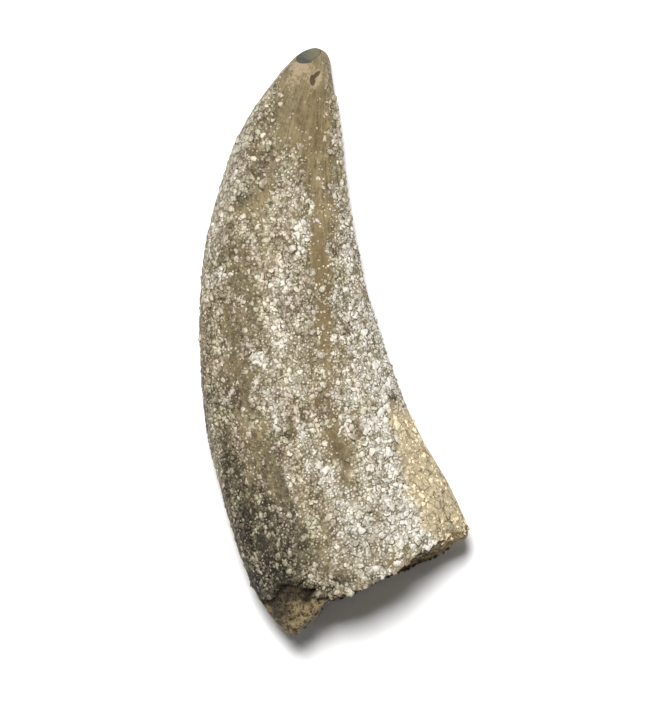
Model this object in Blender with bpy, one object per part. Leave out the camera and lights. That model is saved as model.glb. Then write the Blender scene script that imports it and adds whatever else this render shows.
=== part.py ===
"""Fossil theropod tooth, lying on its lingual face. One solid, as the real tooth is one piece.

Metres, +Z up. The tip points along +Y, the rounded mesial edge lies on -X and the serrated distal
edge on +X. The origin is on the surface the tooth rests on, below the middle of its box.

The tooth is a loft. Its stations fan out round the curved crown, and each one carries a section
whose angle runs from the mesial edge (0) over the labial face to the distal edge (180) and back
under the lingual face (360). Heights along the crown are distances along its middle line.
"""

import math

import bmesh
import bpy
from mathutils import Vector, noise

MM = 0.001

# Mesial and distal edge of each station, seen from above, from the root end to the tip. The first
# lies past the break, so that the broken rim can reach below the second.
STATIONS = (
    ((-2.94, -19.02), (9.78, -14.64)),
    ((-4.58, -15.54), (8.13, -11.40)),
    ((-5.74, -12.78), (6.77, -8.52)),
    ((-6.83, -9.06), (5.04, -5.52)),
    ((-7.70, -5.34), (3.72, -2.52)),
    ((-8.06, -1.74), (2.80, 0.24)),
    ((-8.12, 1.98), (1.92, 3.06)),
    ((-7.84, 5.34), (1.35, 5.76)),
    ((-7.24, 7.98), (0.90, 7.74)),
    ((-6.28, 11.16), (0.54, 10.20)),
    ((-5.28, 13.26), (0.39, 12.00)),
    ((-3.88, 15.30), (0.12, 13.98)),
    ((-2.56, 16.86), (-0.18, 16.02)),
    ((-2.02, 17.30), (-0.32, 16.93)),
    ((-1.62, 17.50), (-0.56, 17.36)),
    ((-1.20, 17.62), (-1.06, 17.62)),
)

# Section, as shares of the half width. The swell, in mm, fills out the narrow apex.
LABIAL_SHARE = 0.58
APEX_SWELL = 0.30
APEX_REACH = 0.5
LINGUAL_SHARE = 0.72
MESIAL_ROUND = 0.50
DISTAL_WEDGE_TIP = 0.78
DISTAL_WEDGE_BASE = 0.58
LINGUAL_FLATNESS = 3.0
LINGUAL_MESIAL_ROUND = 0.55
LINGUAL_DISTAL_WEDGE = 0.75

# How the lingual face meets the surface it lies on
REST_CUT = 0.10
REST_MIDDLE_Y = -4.5
REST_RISE = 0.0012

# Shallow groove that runs beside the distal edge of the labial face. It sets in between two heights
# in mm and runs out between two shares of the crown.
GROOVE_DEPTH = 0.20
GROOVE_WIDTH = 0.15
GROOVE_AT_BASE = 0.10
GROOVE_AT_TIP = 0.62
GROOVE_START = (3.0, 8.0)
GROOVE_END = (0.85, 0.97)

# Broken base: height of the fracture along the labial face, by share of the half width
BREAK_PROFILE = (
    (-1.0, 4.30), (-0.975, 3.55), (-0.95, 2.75), (-0.925, 2.00), (-0.89, 1.48), (-0.84, 1.28),
    (-0.79, 1.31), (-0.68, 1.66), (-0.59, 1.80), (-0.47, 2.44), (-0.24, 2.45), (0.0, 2.62),
    (0.39, 2.88), (0.62, 3.00), (0.80, 3.40), (0.94, 3.64), (1.0, 4.15),
)
BREAK_SLANT = 0.25
BREAK_HOLLOW = 1.10
HOLLOW_AT = 0.22
HOLLOW_REACH = 0.68
BREAK_RIM_ROUGHNESS = 0.10
BREAK_FACE_ROUGHNESS = 0.20
BREAK_GRAIN = 0.9
BREAK_SEED = 3
BREAK_STEPS = 7

# Bevel under the rim of the fracture: how far the rim stands back, how deep the bevel reaches as a
# share of the thickness, and where it starts and ends across the tooth
BEVEL = 0.60
BEVEL_DEPTH = 0.16
BEVEL_START = (0.20, 0.60)
BEVEL_END = (0.85, 1.00)

# Dentine lobe at the mesial corner, left where the enamel has flaked off
LOBE_TOP = 3.70
LOBE_EDGE = -0.50
LOBE_STEP_WIDTH = 0.06
LOBE_RIM = 0.25
LOBE_STEP = 0.70
LOBE_SLOPE = 0.14

# Denticles of the distal edge
DENTICLE_PITCH = 0.53
DENTICLE_DEPTH = 0.10
DENTICLE_FROM = 25.4
DENTICLE_COUNT = 15
DENTICLE_SPREAD = 14.0

# Worn apex: a flat facet and a small pit behind it
FACET_POINT = (-1.42, 17.02, 1.44)
FACET_NORMAL = (-0.06, 0.83, 0.55)
PIT_MIDDLE = (-1.16, 15.80)
PIT_RADIUS = (0.28, 0.40)
PIT_DEPTH = 0.22

# Mesh density
COLUMNS = 48
BREAK_ROWS = 7
LEAST_ROW_STEP = 0.02
BASE_BAND = 5.0
ROW_STEP_BASE = 0.28
ROW_STEP_CROWN = 0.80
ROW_STEP_DENTICLES = DENTICLE_PITCH / 3
ROW_STEP_TIP = 0.12
CUT_TOLERANCE = 1e-8
SHARP_ANGLE = 40

COLOUR = (0.42, 0.35, 0.25, 1.0)
ROUGHNESS = 0.62


def blend(low, high, value):
    """0 below low, 1 above high, and a smooth step between them."""
    share = min(1.0, max(0.0, (value - low) / (high - low)))
    return share * share * (3.0 - 2.0 * share)


def through(knots, values, at):
    """Smooth curve through values at rising knots: cubic Hermite with averaged slopes."""
    last = len(knots) - 1
    span = next((i for i in range(last) if at <= knots[i + 1]), last - 1)

    def slope(i):
        before, after = max(i - 1, 0), min(i + 1, last)
        return (values[after] - values[before]) / (knots[after] - knots[before])

    width = knots[span + 1] - knots[span]
    share = (at - knots[span]) / width
    square, cube = share * share, share * share * share
    return (
        values[span] * (2 * cube - 3 * square + 1)
        + slope(span) * (width * (cube - 2 * square + share))
        + values[span + 1] * (3 * square - 2 * cube)
        + slope(span + 1) * (width * (cube - square))
    )


class Crown:
    """The unbroken tooth as a surface of height along the crown and angle round the section."""

    def __init__(self):
        self.mesial = [Vector(pair[0]) for pair in STATIONS]
        self.distal = [Vector(pair[1]) for pair in STATIONS]
        middles = [(m + d) / 2 for m, d in zip(self.mesial, self.distal)]
        self.heights = [0.0]
        for lower, upper in zip(middles, middles[1:]):
            self.heights.append(self.heights[-1] + (upper - lower).length)
        self.top = self.heights[-1]

    def edges(self, height):
        """Mesial and distal edge of the station at this height, seen from above."""
        return (
            through(self.heights, self.mesial, height),
            through(self.heights, self.distal, height),
        )

    def labial(self, across, height, half_width):
        """How far the labial face stands above the line between the edges."""
        share = height / self.top
        wedge = DISTAL_WEDGE_BASE + (DISTAL_WEDGE_TIP - DISTAL_WEDGE_BASE) * share
        crest = (MESIAL_ROUND - wedge) / (MESIAL_ROUND + wedge)
        full = (1 + crest) ** MESIAL_ROUND * (1 - crest) ** wedge
        form = max(0.0, 1 + across) ** MESIAL_ROUND * max(0.0, 1 - across) ** wedge / full
        groove_at = GROOVE_AT_BASE + (GROOVE_AT_TIP - GROOVE_AT_BASE) * share
        groove = math.exp(-(((across - groove_at) / GROOVE_WIDTH) ** 2))
        groove *= blend(*GROOVE_START, height) * (1 - blend(*GROOVE_END, share)) * GROOVE_DEPTH
        return rise_of(half_width) * form - groove

    def lingual(self, across, half_width):
        """How far the lingual face hangs below the line between the edges."""
        power = LINGUAL_DISTAL_WEDGE if across > 0 else LINGUAL_MESIAL_ROUND
        form = max(0.0, 1 - abs(across) ** LINGUAL_FLATNESS) ** power
        return LINGUAL_SHARE * rise_of(half_width) * form

    def parting(self, height):
        """Height above the floor of the line between the edges."""
        mesial, distal = self.edges(height)
        keel = REST_RISE * ((mesial.y + distal.y) / 2 - REST_MIDDLE_Y) ** 2 - REST_CUT
        return LINGUAL_SHARE * rise_of((distal - mesial).length / 2) + keel

    def point(self, height, angle):
        """Point of the surface, in mm. Angles are in degrees."""
        return self.inside(height, angle, 0.0 if angle < 180 else 1.0)

    def inside(self, height, angle, depth):
        """Point below the labial face, from that face (depth 0) to the lingual one (depth 1)."""
        mesial, distal = self.edges(height)
        half_width = (distal - mesial).length / 2
        across = across_of(angle)
        out = denticle(height) * math.exp(-(((angle - 180) / DENTICLE_SPREAD) ** 2))
        middle, reach = (mesial + distal) / 2, (distal - mesial) / 2
        at = middle + reach * across + reach.normalized() * out
        above = self.labial(across, height, half_width)
        above -= lobe_drop(height, across) * min(1.0, max(0.0, above)) + pit(at)
        below = self.lingual(across, half_width)
        up = above * (1 - depth) - below * depth
        return Vector((at.x, at.y, self.parting(height) + up))


def across_of(angle):
    """Place across the section, from the mesial edge (-1) to the distal one (1)."""
    return -math.cos(math.radians(angle))


def rise_of(half_width):
    """Labial rise of a station: a share of its half width that swells a little at the apex."""
    return half_width * (LABIAL_SHARE + APEX_SWELL / (half_width + APEX_REACH))


def denticle(height):
    """How far a denticle stands out of the distal edge at this height."""
    number = (height - DENTICLE_FROM) / DENTICLE_PITCH
    fade = blend(0, 2, number) * (1 - blend(DENTICLE_COUNT - 2, DENTICLE_COUNT, number))
    return DENTICLE_DEPTH * fade * abs(math.sin(math.pi * number))


def lobe_drop(height, across):
    """How far the flaked lobe lies below the enamel, in mm."""
    inside = 1 - blend(LOBE_EDGE - LOBE_STEP_WIDTH, LOBE_EDGE + LOBE_STEP_WIDTH, across)
    below = blend(0.0, LOBE_RIM, LOBE_TOP - height)
    return inside * below * (LOBE_STEP + LOBE_SLOPE * max(0.0, LOBE_TOP - height))


def pit(at):
    """Depth of the pit behind the apex at a point seen from above."""
    offset_x = (at.x - PIT_MIDDLE[0]) / PIT_RADIUS[0]
    offset_y = (at.y - PIT_MIDDLE[1]) / PIT_RADIUS[1]
    return PIT_DEPTH * math.exp(-(offset_x**2) - offset_y**2)


def row_heights(top):
    """Heights of the rows, close together at the break, along the denticles and at the tip."""
    serrated = DENTICLE_FROM + DENTICLE_COUNT * DENTICLE_PITCH
    zones = (
        (first_full_row(), BASE_BAND, ROW_STEP_BASE),
        (BASE_BAND, DENTICLE_FROM, ROW_STEP_CROWN),
        (DENTICLE_FROM, serrated, ROW_STEP_DENTICLES),
        (serrated, top, ROW_STEP_TIP),
    )
    heights = []
    for start, end, step in zones:
        count = round((end - start) / step)
        heights += [start + (end - start) * row / count for row in range(count)]
    return heights


def first_full_row():
    """Height of the first row that runs all the way round, just above the broken rim."""
    return max(height for _, height in BREAK_PROFILE)


def break_height(angle, depth):
    """Height of the fracture, from the labial face (depth 0) to the lingual one (depth 1)."""
    across = across_of(angle)
    places = [place for place, _ in BREAK_PROFILE]
    heights = [height for _, height in BREAK_PROFILE]
    hollow = max(0.0, 1 - ((across - HOLLOW_AT) / HOLLOW_REACH) ** 2) * 4 * depth * (1 - depth)
    bevel = BEVEL * blend(*BEVEL_START, across) * (1 - blend(*BEVEL_END, across))
    rim = through(places, heights, across) + bevel * (1 - blend(0.0, BEVEL_DEPTH, depth))
    return rim - BREAK_SLANT * depth + BREAK_HOLLOW * hollow


def base_rows(angle):
    """Heights of the rows between the broken rim and the first full row, for one column."""
    first = first_full_row()
    low = min(break_height(angle, 0.0 if angle < 180 else 1.0), first - LEAST_ROW_STEP * BREAK_ROWS)
    return [low + (first - low) * row / BREAK_ROWS for row in range(BREAK_ROWS)]


def roughened(mesh, point, amount):
    """New vertex at a point moved by seeded noise, for fracture surfaces."""
    return mesh.verts.new((point + noise.noise_vector(point * BREAK_GRAIN) * amount) * MM)


def skin(mesh, lower, upper):
    """Faces between two rows of the same length, triangles where two corners are one."""
    pairs = list(zip(lower, upper))
    for (a, d), (b, c) in zip(pairs, pairs[1:]):
        mesh.faces.new(dict.fromkeys((a, b, c, d)))


def cap_break(mesh, crown, rim):
    """Rough, slightly hollow fracture: rows of faces from the labial rim to the lingual one."""
    half = COLUMNS // 2
    before = [rim[0]] * (BREAK_STEPS + 1)
    for column in range(1, half + 1):
        angle = 360.0 * column / COLUMNS
        row = [rim[column]]
        for step in range(1, BREAK_STEPS):
            depth = step / BREAK_STEPS
            place = crown.inside(break_height(angle, depth), angle, depth)
            row.append(roughened(mesh, place, BREAK_FACE_ROUGHNESS) if column < half else rim[half])
        row.append(rim[-column])
        skin(mesh, before, row)
        before = row


def cut_flat(mesh, point, normal):
    """Removes what lies beyond a plane and closes the cut with one flat face."""
    everything = [*mesh.verts, *mesh.edges, *mesh.faces]
    cut = bmesh.ops.bisect_plane(
        mesh, geom=everything, dist=CUT_TOLERANCE, plane_co=point, plane_no=normal, clear_outer=True
    )
    edges = [item for item in cut["geom_cut"] if isinstance(item, bmesh.types.BMEdge)]
    bmesh.ops.edgeloop_fill(mesh, edges=edges)


def tooth_mesh():
    """The tooth as one closed surface: rows up the crown, the fracture, and the two flat faces."""
    noise.seed_set(BREAK_SEED)
    crown = Crown()
    mesh = bmesh.new()
    angles = [360.0 * i / COLUMNS for i in range(COLUMNS)]
    columns = [base_rows(angle) for angle in angles]
    rings = []
    for row in range(BREAK_ROWS):
        amount = BREAK_RIM_ROUGHNESS * (1 - row / BREAK_ROWS)
        places = [crown.point(column[row], angle) for column, angle in zip(columns, angles)]
        rings.append([roughened(mesh, place, amount) for place in places])
    for height in row_heights(crown.top):
        rings.append([mesh.verts.new(crown.point(height, angle) * MM) for angle in angles])
    tip = mesh.verts.new(crown.point(crown.top, 90) * MM)
    rings.append([tip] * COLUMNS)
    for lower, upper in zip(rings, rings[1:]):
        skin(mesh, [*lower, lower[0]], [*upper, upper[0]])
    cap_break(mesh, crown, rings[0])
    bmesh.ops.recalc_face_normals(mesh, faces=mesh.faces)
    cut_flat(mesh, Vector(FACET_POINT) * MM, Vector(FACET_NORMAL))
    cut_flat(mesh, Vector((0, 0, 0)), Vector((0, 0, -1)))
    bmesh.ops.recalc_face_normals(mesh, faces=mesh.faces)
    return mesh


def centre_on_footprint(mesh):
    """Puts the origin below the middle of the bounding box."""
    for axis in (0, 1):
        values = [vert.co[axis] for vert in mesh.verts]
        middle = (min(values) + max(values)) / 2
        for vert in mesh.verts:
            vert.co[axis] -= middle


def fossil_material():
    """Fossil enamel: brown and matt."""
    material = bpy.data.materials.new("fossil_enamel")
    material.use_nodes = True
    shader = material.node_tree.nodes["Principled BSDF"]
    shader.inputs["Base Color"].default_value = COLOUR
    shader.inputs["Roughness"].default_value = ROUGHNESS
    shader.inputs["Metallic"].default_value = 0.0
    return material


def main():
    for obj in list(bpy.data.objects):
        bpy.data.objects.remove(obj)
    mesh = tooth_mesh()
    centre_on_footprint(mesh)
    data = bpy.data.meshes.new("tooth")
    mesh.to_mesh(data)
    mesh.free()
    data.materials.append(fossil_material())
    data.shade_smooth()
    data.set_sharp_from_angle(angle=math.radians(SHARP_ANGLE))
    tooth = bpy.data.objects.new("tooth", data)
    bpy.context.scene.collection.objects.link(tooth)


if __name__ == "__main__":
    main()
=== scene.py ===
"""Fossil theropod tooth: a curved crown under a granular mineral crust, lying on a pale floor.

Metres, +Z up. The tip points along +Y, the rounded mesial edge lies on -X and the serrated distal
edge on +X. Sizes in this file are in millimetres unless a name says otherwise.

The crown is a loft whose sections carry an angle: 0 is the mesial edge, 0 to 180 the labial face on
top, 180 the distal edge and 180 to 360 the lingual face below. Heights run along the crown from
below its broken base to its tip. Fields over the surface say where each kind of surface lies, and
both the materials and the Geometry Nodes that scatter the crust read them as attributes.
"""

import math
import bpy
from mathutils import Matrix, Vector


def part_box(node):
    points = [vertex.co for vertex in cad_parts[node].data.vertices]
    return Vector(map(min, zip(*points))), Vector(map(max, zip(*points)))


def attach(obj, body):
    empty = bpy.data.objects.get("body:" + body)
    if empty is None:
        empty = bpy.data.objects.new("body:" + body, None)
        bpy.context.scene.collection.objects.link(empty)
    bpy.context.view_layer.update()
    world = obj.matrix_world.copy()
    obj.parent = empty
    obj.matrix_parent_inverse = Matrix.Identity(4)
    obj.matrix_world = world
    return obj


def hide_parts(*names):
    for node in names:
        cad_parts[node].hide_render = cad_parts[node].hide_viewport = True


bl_info = {
    "name": "Fossil Tooth",
    "version": (1, 0, 0),
    "blender": (4, 5, 0),
    "location": "View3D > Sidebar > Fossil Tooth",
    "description": "Builds a weathered, serrated fossil tooth crown with a granular crust",
    "category": "Add Mesh",
}

from types import SimpleNamespace

import bpy
import numpy as np
from mathutils import Vector, noise

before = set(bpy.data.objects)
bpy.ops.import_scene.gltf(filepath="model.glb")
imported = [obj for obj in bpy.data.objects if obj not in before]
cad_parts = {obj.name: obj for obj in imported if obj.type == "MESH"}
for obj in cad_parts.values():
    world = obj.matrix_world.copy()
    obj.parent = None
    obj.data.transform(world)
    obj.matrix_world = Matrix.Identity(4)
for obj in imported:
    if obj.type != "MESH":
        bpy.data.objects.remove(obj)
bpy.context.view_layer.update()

MM = 0.001

# ---------------------------------------------------------------- shape of the crown

# Mesial and distal edge of each station, seen from above, from below the break to the tip
STATIONS = (
    ((-2.94, -19.02), (9.78, -14.64)),
    ((-4.58, -15.54), (8.13, -11.40)),
    ((-5.74, -12.78), (6.77, -8.52)),
    ((-6.83, -9.06), (5.04, -5.52)),
    ((-7.70, -5.34), (3.72, -2.52)),
    ((-8.06, -1.74), (2.80, 0.24)),
    ((-8.12, 1.98), (1.92, 3.06)),
    ((-7.84, 5.34), (1.35, 5.76)),
    ((-7.24, 7.98), (0.90, 7.74)),
    ((-6.28, 11.16), (0.54, 10.20)),
    ((-5.28, 13.26), (0.39, 12.00)),
    ((-3.88, 15.30), (0.12, 13.98)),
    ((-2.56, 16.86), (-0.18, 16.02)),
    ((-2.02, 17.30), (-0.32, 16.93)),
    ((-1.62, 17.50), (-0.56, 17.36)),
    ((-1.20, 17.62), (-1.06, 17.62)),
)

# Section, as shares of the half width
LABIAL_SHARE = 0.58
APEX_SWELL = 0.30
APEX_REACH = 0.5
LINGUAL_SHARE = 0.72
MESIAL_ROUND = 0.50
DISTAL_WEDGE_TIP = 0.78
DISTAL_WEDGE_BASE = 0.58
LINGUAL_FLATNESS = 3.0
LINGUAL_MESIAL_ROUND = 0.55
LINGUAL_DISTAL_WEDGE = 0.75

# How the lingual face meets the floor
REST_CUT = 0.10
REST_MIDDLE_Y = -4.5
REST_RISE = 0.0012

# Shallow groove that runs beside the distal edge of the labial face. It deepens over a stretch of
# heights and fades out over a share of the crown's height.
GROOVE_DEPTH = 0.20
GROOVE_WIDTH = 0.15
GROOVE_AT_BASE = 0.10
GROOVE_AT_TIP = 0.62
GROOVE_START = (3.0, 8.0)
GROOVE_END = (0.85, 0.97)

# Broken base: height of the fracture along the labial face, by share of the half width. The
# fracture slants down to the lingual face, and it is hollow about one share of the half width.
BREAK_PROFILE = (
    (-1.0, 4.95), (-0.99, 4.35), (-0.975, 3.65), (-0.95, 2.80), (-0.925, 2.05), (-0.89, 1.50),
    (-0.84, 1.28), (-0.79, 1.31), (-0.68, 1.66), (-0.59, 1.80), (-0.47, 2.44), (-0.24, 2.45),
    (0.0, 2.62), (0.39, 2.88), (0.62, 3.00), (0.80, 3.40), (0.94, 3.64), (1.0, 4.15),
)
BREAK_SLANT = 0.25
BREAK_HOLLOW = 1.10
HOLLOW_AT = 0.22
HOLLOW_REACH = 0.68

# Unevenness of the fracture: bumps per millimetre and their height on the rim, how much rougher
# the broken face is, and how far above the break the rim is still uneven
BREAK_BUMPS = 0.9
BREAK_ROUGHNESS = 0.10
CAP_ROUGHNESS = 2.0
BREAK_FADE = 1.0

# Bevel under the rim of the fracture: how far the rim stands back, how deep the bevel reaches as a
# share of the thickness, and where it starts and ends across the tooth
BEVEL = 0.60
BEVEL_DEPTH = 0.16
BEVEL_START = (0.20, 0.60)
BEVEL_END = (0.85, 1.00)

# Dentine lobe at the mesial corner, left where the enamel has flaked off: the height of its top,
# its distal edge as a share of the half width, and how far it lies below the enamel
LOBE_TOP = 3.70
LOBE_EDGE = -0.50
LOBE_STEP = 0.70
LOBE_SLOPE = 0.14
# Its distal edge leans about one height and waves along it. Its top rises away from the mesial
# edge and waves across. A wave is a swing and its radians per unit.
LOBE_EDGE_LEAN = 0.09
LOBE_LEANS_ABOUT = 3.1
LOBE_EDGE_WAVE = (0.05, 9.0)
LOBE_EDGE_FADE = 0.03
LOBE_TOP_RISE = 0.30
LOBE_RISES_ACROSS = (-0.86, -0.74)
LOBE_TOP_WAVES = ((0.16, 7.0), (0.07, 23.0))
LOBE_TOP_FADE = 0.16

# Denticles of the distal edge: their spacing, the height of the first, how many there are, and the
# half sizes of one inward from the edge and through the tooth
DENTICLE_PITCH = 0.53
DENTICLE_FROM = 25.4
DENTICLE_COUNT = 15
DENTICLE_HALF_DEPTH = 0.32
DENTICLE_HALF_HEIGHT = 0.36
# Half width of one along the edge, as a share of the pitch: a little over half, so they touch
DENTICLE_FULLNESS = 0.54
EDGE_POINTS = 60

# Worn apex: a flat facet and a small pit behind it. The facet's lower outline is drawn in on both
# sides of its point, by one slope on the mesial side and one on the distal side. That fades out
# over the wedge's end, counted from the point towards the tip.
FACET_POINT = (-1.42, 17.02, 1.44)
FACET_NORMAL = (-0.06, 0.83, 0.55)
FACET_FADE = 0.25
FACET_WEDGE = (0.06, 0.38)
FACET_WEDGE_END = (0.10, 0.60)
PIT_MIDDLE = (-1.16, 15.80)
PIT_RADIUS = (0.28, 0.40)
PIT_DEPTH = 0.22

# Mesh density of the crown: columns round it, rows between the slanting rim of the fracture and
# the first level row, rows from there to the tip, and steps across the fracture. The level rows
# crowd a little towards the tip.
COLUMNS = 260
BREAK_ROWS = 40
CROWN_ROWS = 310
CAP_STEPS = 30
LEAST_ROW_STEP = 0.015
FIRST_FULL_ROW = max(height for _, height in BREAK_PROFILE) + LEAST_ROW_STEP * BREAK_ROWS
TIP_CROWDING = 0.06
# The step from one face to the other at an edge, as a share of a face's columns
FACE_CHANGE = (-0.02, 0.02)
# The streaks of the enamel are drawn as if the crown were twice this wide all the way up
STREAK_WIDTH = 4.0

# Without a seed, the vector noise differs from run to run
NOISE_SEED = 3


def blend(low, high, value):
    """0 below low, 1 above high, and a smooth step between them."""
    share = np.clip((value - low) / (high - low), 0.0, 1.0)
    return share * share * (3.0 - 2.0 * share)


def through(knots, values, at):
    """Smooth curve through values at rising knots: cubic Hermite with averaged slopes."""
    knots, values = np.asarray(knots, float), np.asarray(values, float)
    places = np.arange(len(knots))
    before, after = np.maximum(places - 1, 0), np.minimum(places + 1, len(knots) - 1)
    width_over = (knots[after] - knots[before]).reshape((-1,) + (1,) * (values.ndim - 1))
    slopes = (values[after] - values[before]) / width_over
    at = np.asarray(at, float)
    span = np.clip(np.searchsorted(knots, at) - 1, 0, len(knots) - 2)
    tail = at.shape + (1,) * (values.ndim - 1)
    width = (knots[span + 1] - knots[span]).reshape(tail)
    share = (at - knots[span]).reshape(tail) / width
    square, cube = share**2, share**3
    return (
        values[span] * (2 * cube - 3 * square + 1)
        + slopes[span] * width * (cube - 2 * square + share)
        + values[span + 1] * (3 * square - 2 * cube)
        + slopes[span + 1] * width * (cube - square)
    )


MESIAL = np.array([pair[0] for pair in STATIONS])
DISTAL = np.array([pair[1] for pair in STATIONS])
MIDDLE = (MESIAL + DISTAL) / 2
STATION_HEIGHTS = np.concatenate([[0], np.cumsum(np.linalg.norm(np.diff(MIDDLE, axis=0), axis=1))])
TOP = float(STATION_HEIGHTS[-1])
FACET_OUT = np.array(FACET_NORMAL) / np.linalg.norm(FACET_NORMAL)


def rise_of(half_width):
    """Labial rise of a station: a share of its half width that swells a little at the apex."""
    return half_width * (LABIAL_SHARE + APEX_SWELL / (half_width + APEX_REACH))


def labial(across, height, half_width):
    """How far the labial face stands above the line between the edges."""
    share = height / TOP
    wedge = DISTAL_WEDGE_BASE + (DISTAL_WEDGE_TIP - DISTAL_WEDGE_BASE) * share
    crest = (MESIAL_ROUND - wedge) / (MESIAL_ROUND + wedge)
    full = (1 + crest) ** MESIAL_ROUND * (1 - crest) ** wedge
    form = np.maximum(0, 1 + across) ** MESIAL_ROUND * np.maximum(0, 1 - across) ** wedge / full
    groove = np.exp(-(((across - groove_place(height)) / GROOVE_WIDTH) ** 2))
    groove *= blend(*GROOVE_START, height) * (1 - blend(*GROOVE_END, share)) * GROOVE_DEPTH
    return rise_of(half_width) * form - groove


def groove_place(height):
    """Where the groove runs, as a share of the half width."""
    return GROOVE_AT_BASE + (GROOVE_AT_TIP - GROOVE_AT_BASE) * height / TOP


def lingual(across, half_width):
    """How far the lingual face hangs below the line between the edges."""
    power = np.where(across > 0, LINGUAL_DISTAL_WEDGE, LINGUAL_MESIAL_ROUND)
    form = np.maximum(0, 1 - np.abs(across) ** LINGUAL_FLATNESS) ** power
    return LINGUAL_SHARE * rise_of(half_width) * form


def lobe_share(height, across):
    """1 on the flaked lobe and 0 on the enamel, with a steep step between them."""
    swing, turns = LOBE_EDGE_WAVE
    wander = swing * np.sin(turns * height) + LOBE_EDGE_LEAN * (height - LOBE_LEANS_ABOUT)
    inside = 1 - blend(LOBE_EDGE - LOBE_EDGE_FADE, LOBE_EDGE + LOBE_EDGE_FADE, across + wander)
    top = LOBE_TOP + LOBE_TOP_RISE * blend(*LOBE_RISES_ACROSS, across)
    top += sum(swing * np.sin(turns * across) for swing, turns in LOBE_TOP_WAVES)
    return inside * blend(0.0, LOBE_TOP_FADE, top - height)


def crown_points(height, angle, depth):
    """Points of the crown, their across and height. Depth goes from 0, labial, to 1, lingual."""
    mesial = through(STATION_HEIGHTS, MESIAL, height)
    distal = through(STATION_HEIGHTS, DISTAL, height)
    half = (distal - mesial) / 2
    half_width = np.linalg.norm(half, axis=-1)
    across = -np.cos(np.radians(angle)) * np.ones_like(height)
    middle = (mesial + distal) / 2
    at = middle + half * across[..., None]
    above = labial(across, height, half_width)
    drop = LOBE_STEP + LOBE_SLOPE * np.maximum(0, LOBE_TOP - height)
    above = above - lobe_share(height, across) * drop * np.clip(above, 0, 1)
    reach_x = (at[..., 0] - PIT_MIDDLE[0]) / PIT_RADIUS[0]
    reach_y = (at[..., 1] - PIT_MIDDLE[1]) / PIT_RADIUS[1]
    above = above - PIT_DEPTH * np.exp(-(reach_x**2) - reach_y**2)
    below = lingual(across, half_width)
    keel = REST_RISE * (middle[..., 1] - REST_MIDDLE_Y) ** 2 - REST_CUT
    up = LINGUAL_SHARE * rise_of(half_width) + keel + above * (1 - depth) - below * depth
    return np.concatenate([at, up[..., None]], axis=-1), across, height


def break_height(angle, depth):
    """Height of the fracture, from the labial face (depth 0) to the lingual one (depth 1)."""
    across = -np.cos(np.radians(angle))
    places = [place for place, _ in BREAK_PROFILE]
    heights = [height for _, height in BREAK_PROFILE]
    hollow = np.maximum(0, 1 - ((across - HOLLOW_AT) / HOLLOW_REACH) ** 2) * 4 * depth * (1 - depth)
    bevel = BEVEL * blend(*BEVEL_START, across) * (1 - blend(*BEVEL_END, across))
    rim = through(places, heights, across) + bevel * (1 - blend(0.0, BEVEL_DEPTH, depth))
    return rim - BREAK_SLANT * depth + BREAK_HOLLOW * hollow


def wobble(points, grain, seed=0.0):
    """Seeded noise vector at each point. Grain is the number of bumps per millimetre."""
    shift = Vector((seed, seed, seed))
    return np.array([noise.noise_vector(Vector(point) * grain + shift) for point in points])


def patchiness(points, grain, seed):
    """Seeded noise from 0 to 1 at each point."""
    shift = Vector((seed, seed, seed))
    values = [noise.fractal(Vector(point) * grain + shift, 1.0, 2.0, 3) for point in points]
    return np.clip(0.5 + 0.5 * np.array(values), 0, 1)


def crown_grid():
    """Side and cap of the crown: points, across and height of each, and the cap's depth last."""
    angles = np.arange(COLUMNS) * 360.0 / COLUMNS
    side = (angles >= 180).astype(float)
    rim = break_height(angles, side)
    rows = [rim + (FIRST_FULL_ROW - rim) * row / BREAK_ROWS for row in range(BREAK_ROWS)]
    crowd = np.linspace(0, 1, CROWN_ROWS, endpoint=False)
    crowd = crowd + TIP_CROWDING * np.sin(math.pi * crowd)
    rows += [np.full(COLUMNS, FIRST_FULL_ROW + (TOP - FIRST_FULL_ROW) * share) for share in crowd]
    heights = np.array(rows)
    points, across, height = crown_points(heights, np.broadcast_to(angles, heights.shape), side)
    half = COLUMNS // 2
    depths = np.arange(1, CAP_STEPS)[:, None] / CAP_STEPS
    cap_angles = np.broadcast_to(angles[1:half], (CAP_STEPS - 1, half - 1))
    cap_depths = np.broadcast_to(depths, cap_angles.shape)
    cap = crown_points(break_height(cap_angles, cap_depths), cap_angles, cap_depths)
    return (points, across, height), (*cap, cap_depths)


def crown_faces(side_rows):
    """Vertex numbers of the crown's quads and triangles, outside facing out."""
    faces = []
    for row in range(side_rows - 1):
        low, high = row * COLUMNS, (row + 1) * COLUMNS
        for i in range(COLUMNS):
            j = (i + 1) % COLUMNS
            faces.append((low + i, low + j, high + j, high + i))
    tip = side_rows * COLUMNS
    last = (side_rows - 1) * COLUMNS
    faces += [(last + i, last + (i + 1) % COLUMNS, tip) for i in range(COLUMNS)]
    half = COLUMNS // 2
    first = tip + 1

    def cap_vert(step, column):
        if column in (0, half) or step == 0:
            return column
        if step == CAP_STEPS:
            return COLUMNS - column
        return first + (step - 1) * (half - 1) + column - 1

    for column in range(half):
        for step in range(CAP_STEPS):
            ring = (
                cap_vert(step, column),
                cap_vert(step + 1, column),
                cap_vert(step + 1, column + 1),
                cap_vert(step, column + 1),
            )
            faces.append(tuple(dict.fromkeys(ring)))
    return faces


# ---------------------------------------------------------------- fields over the surface

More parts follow.
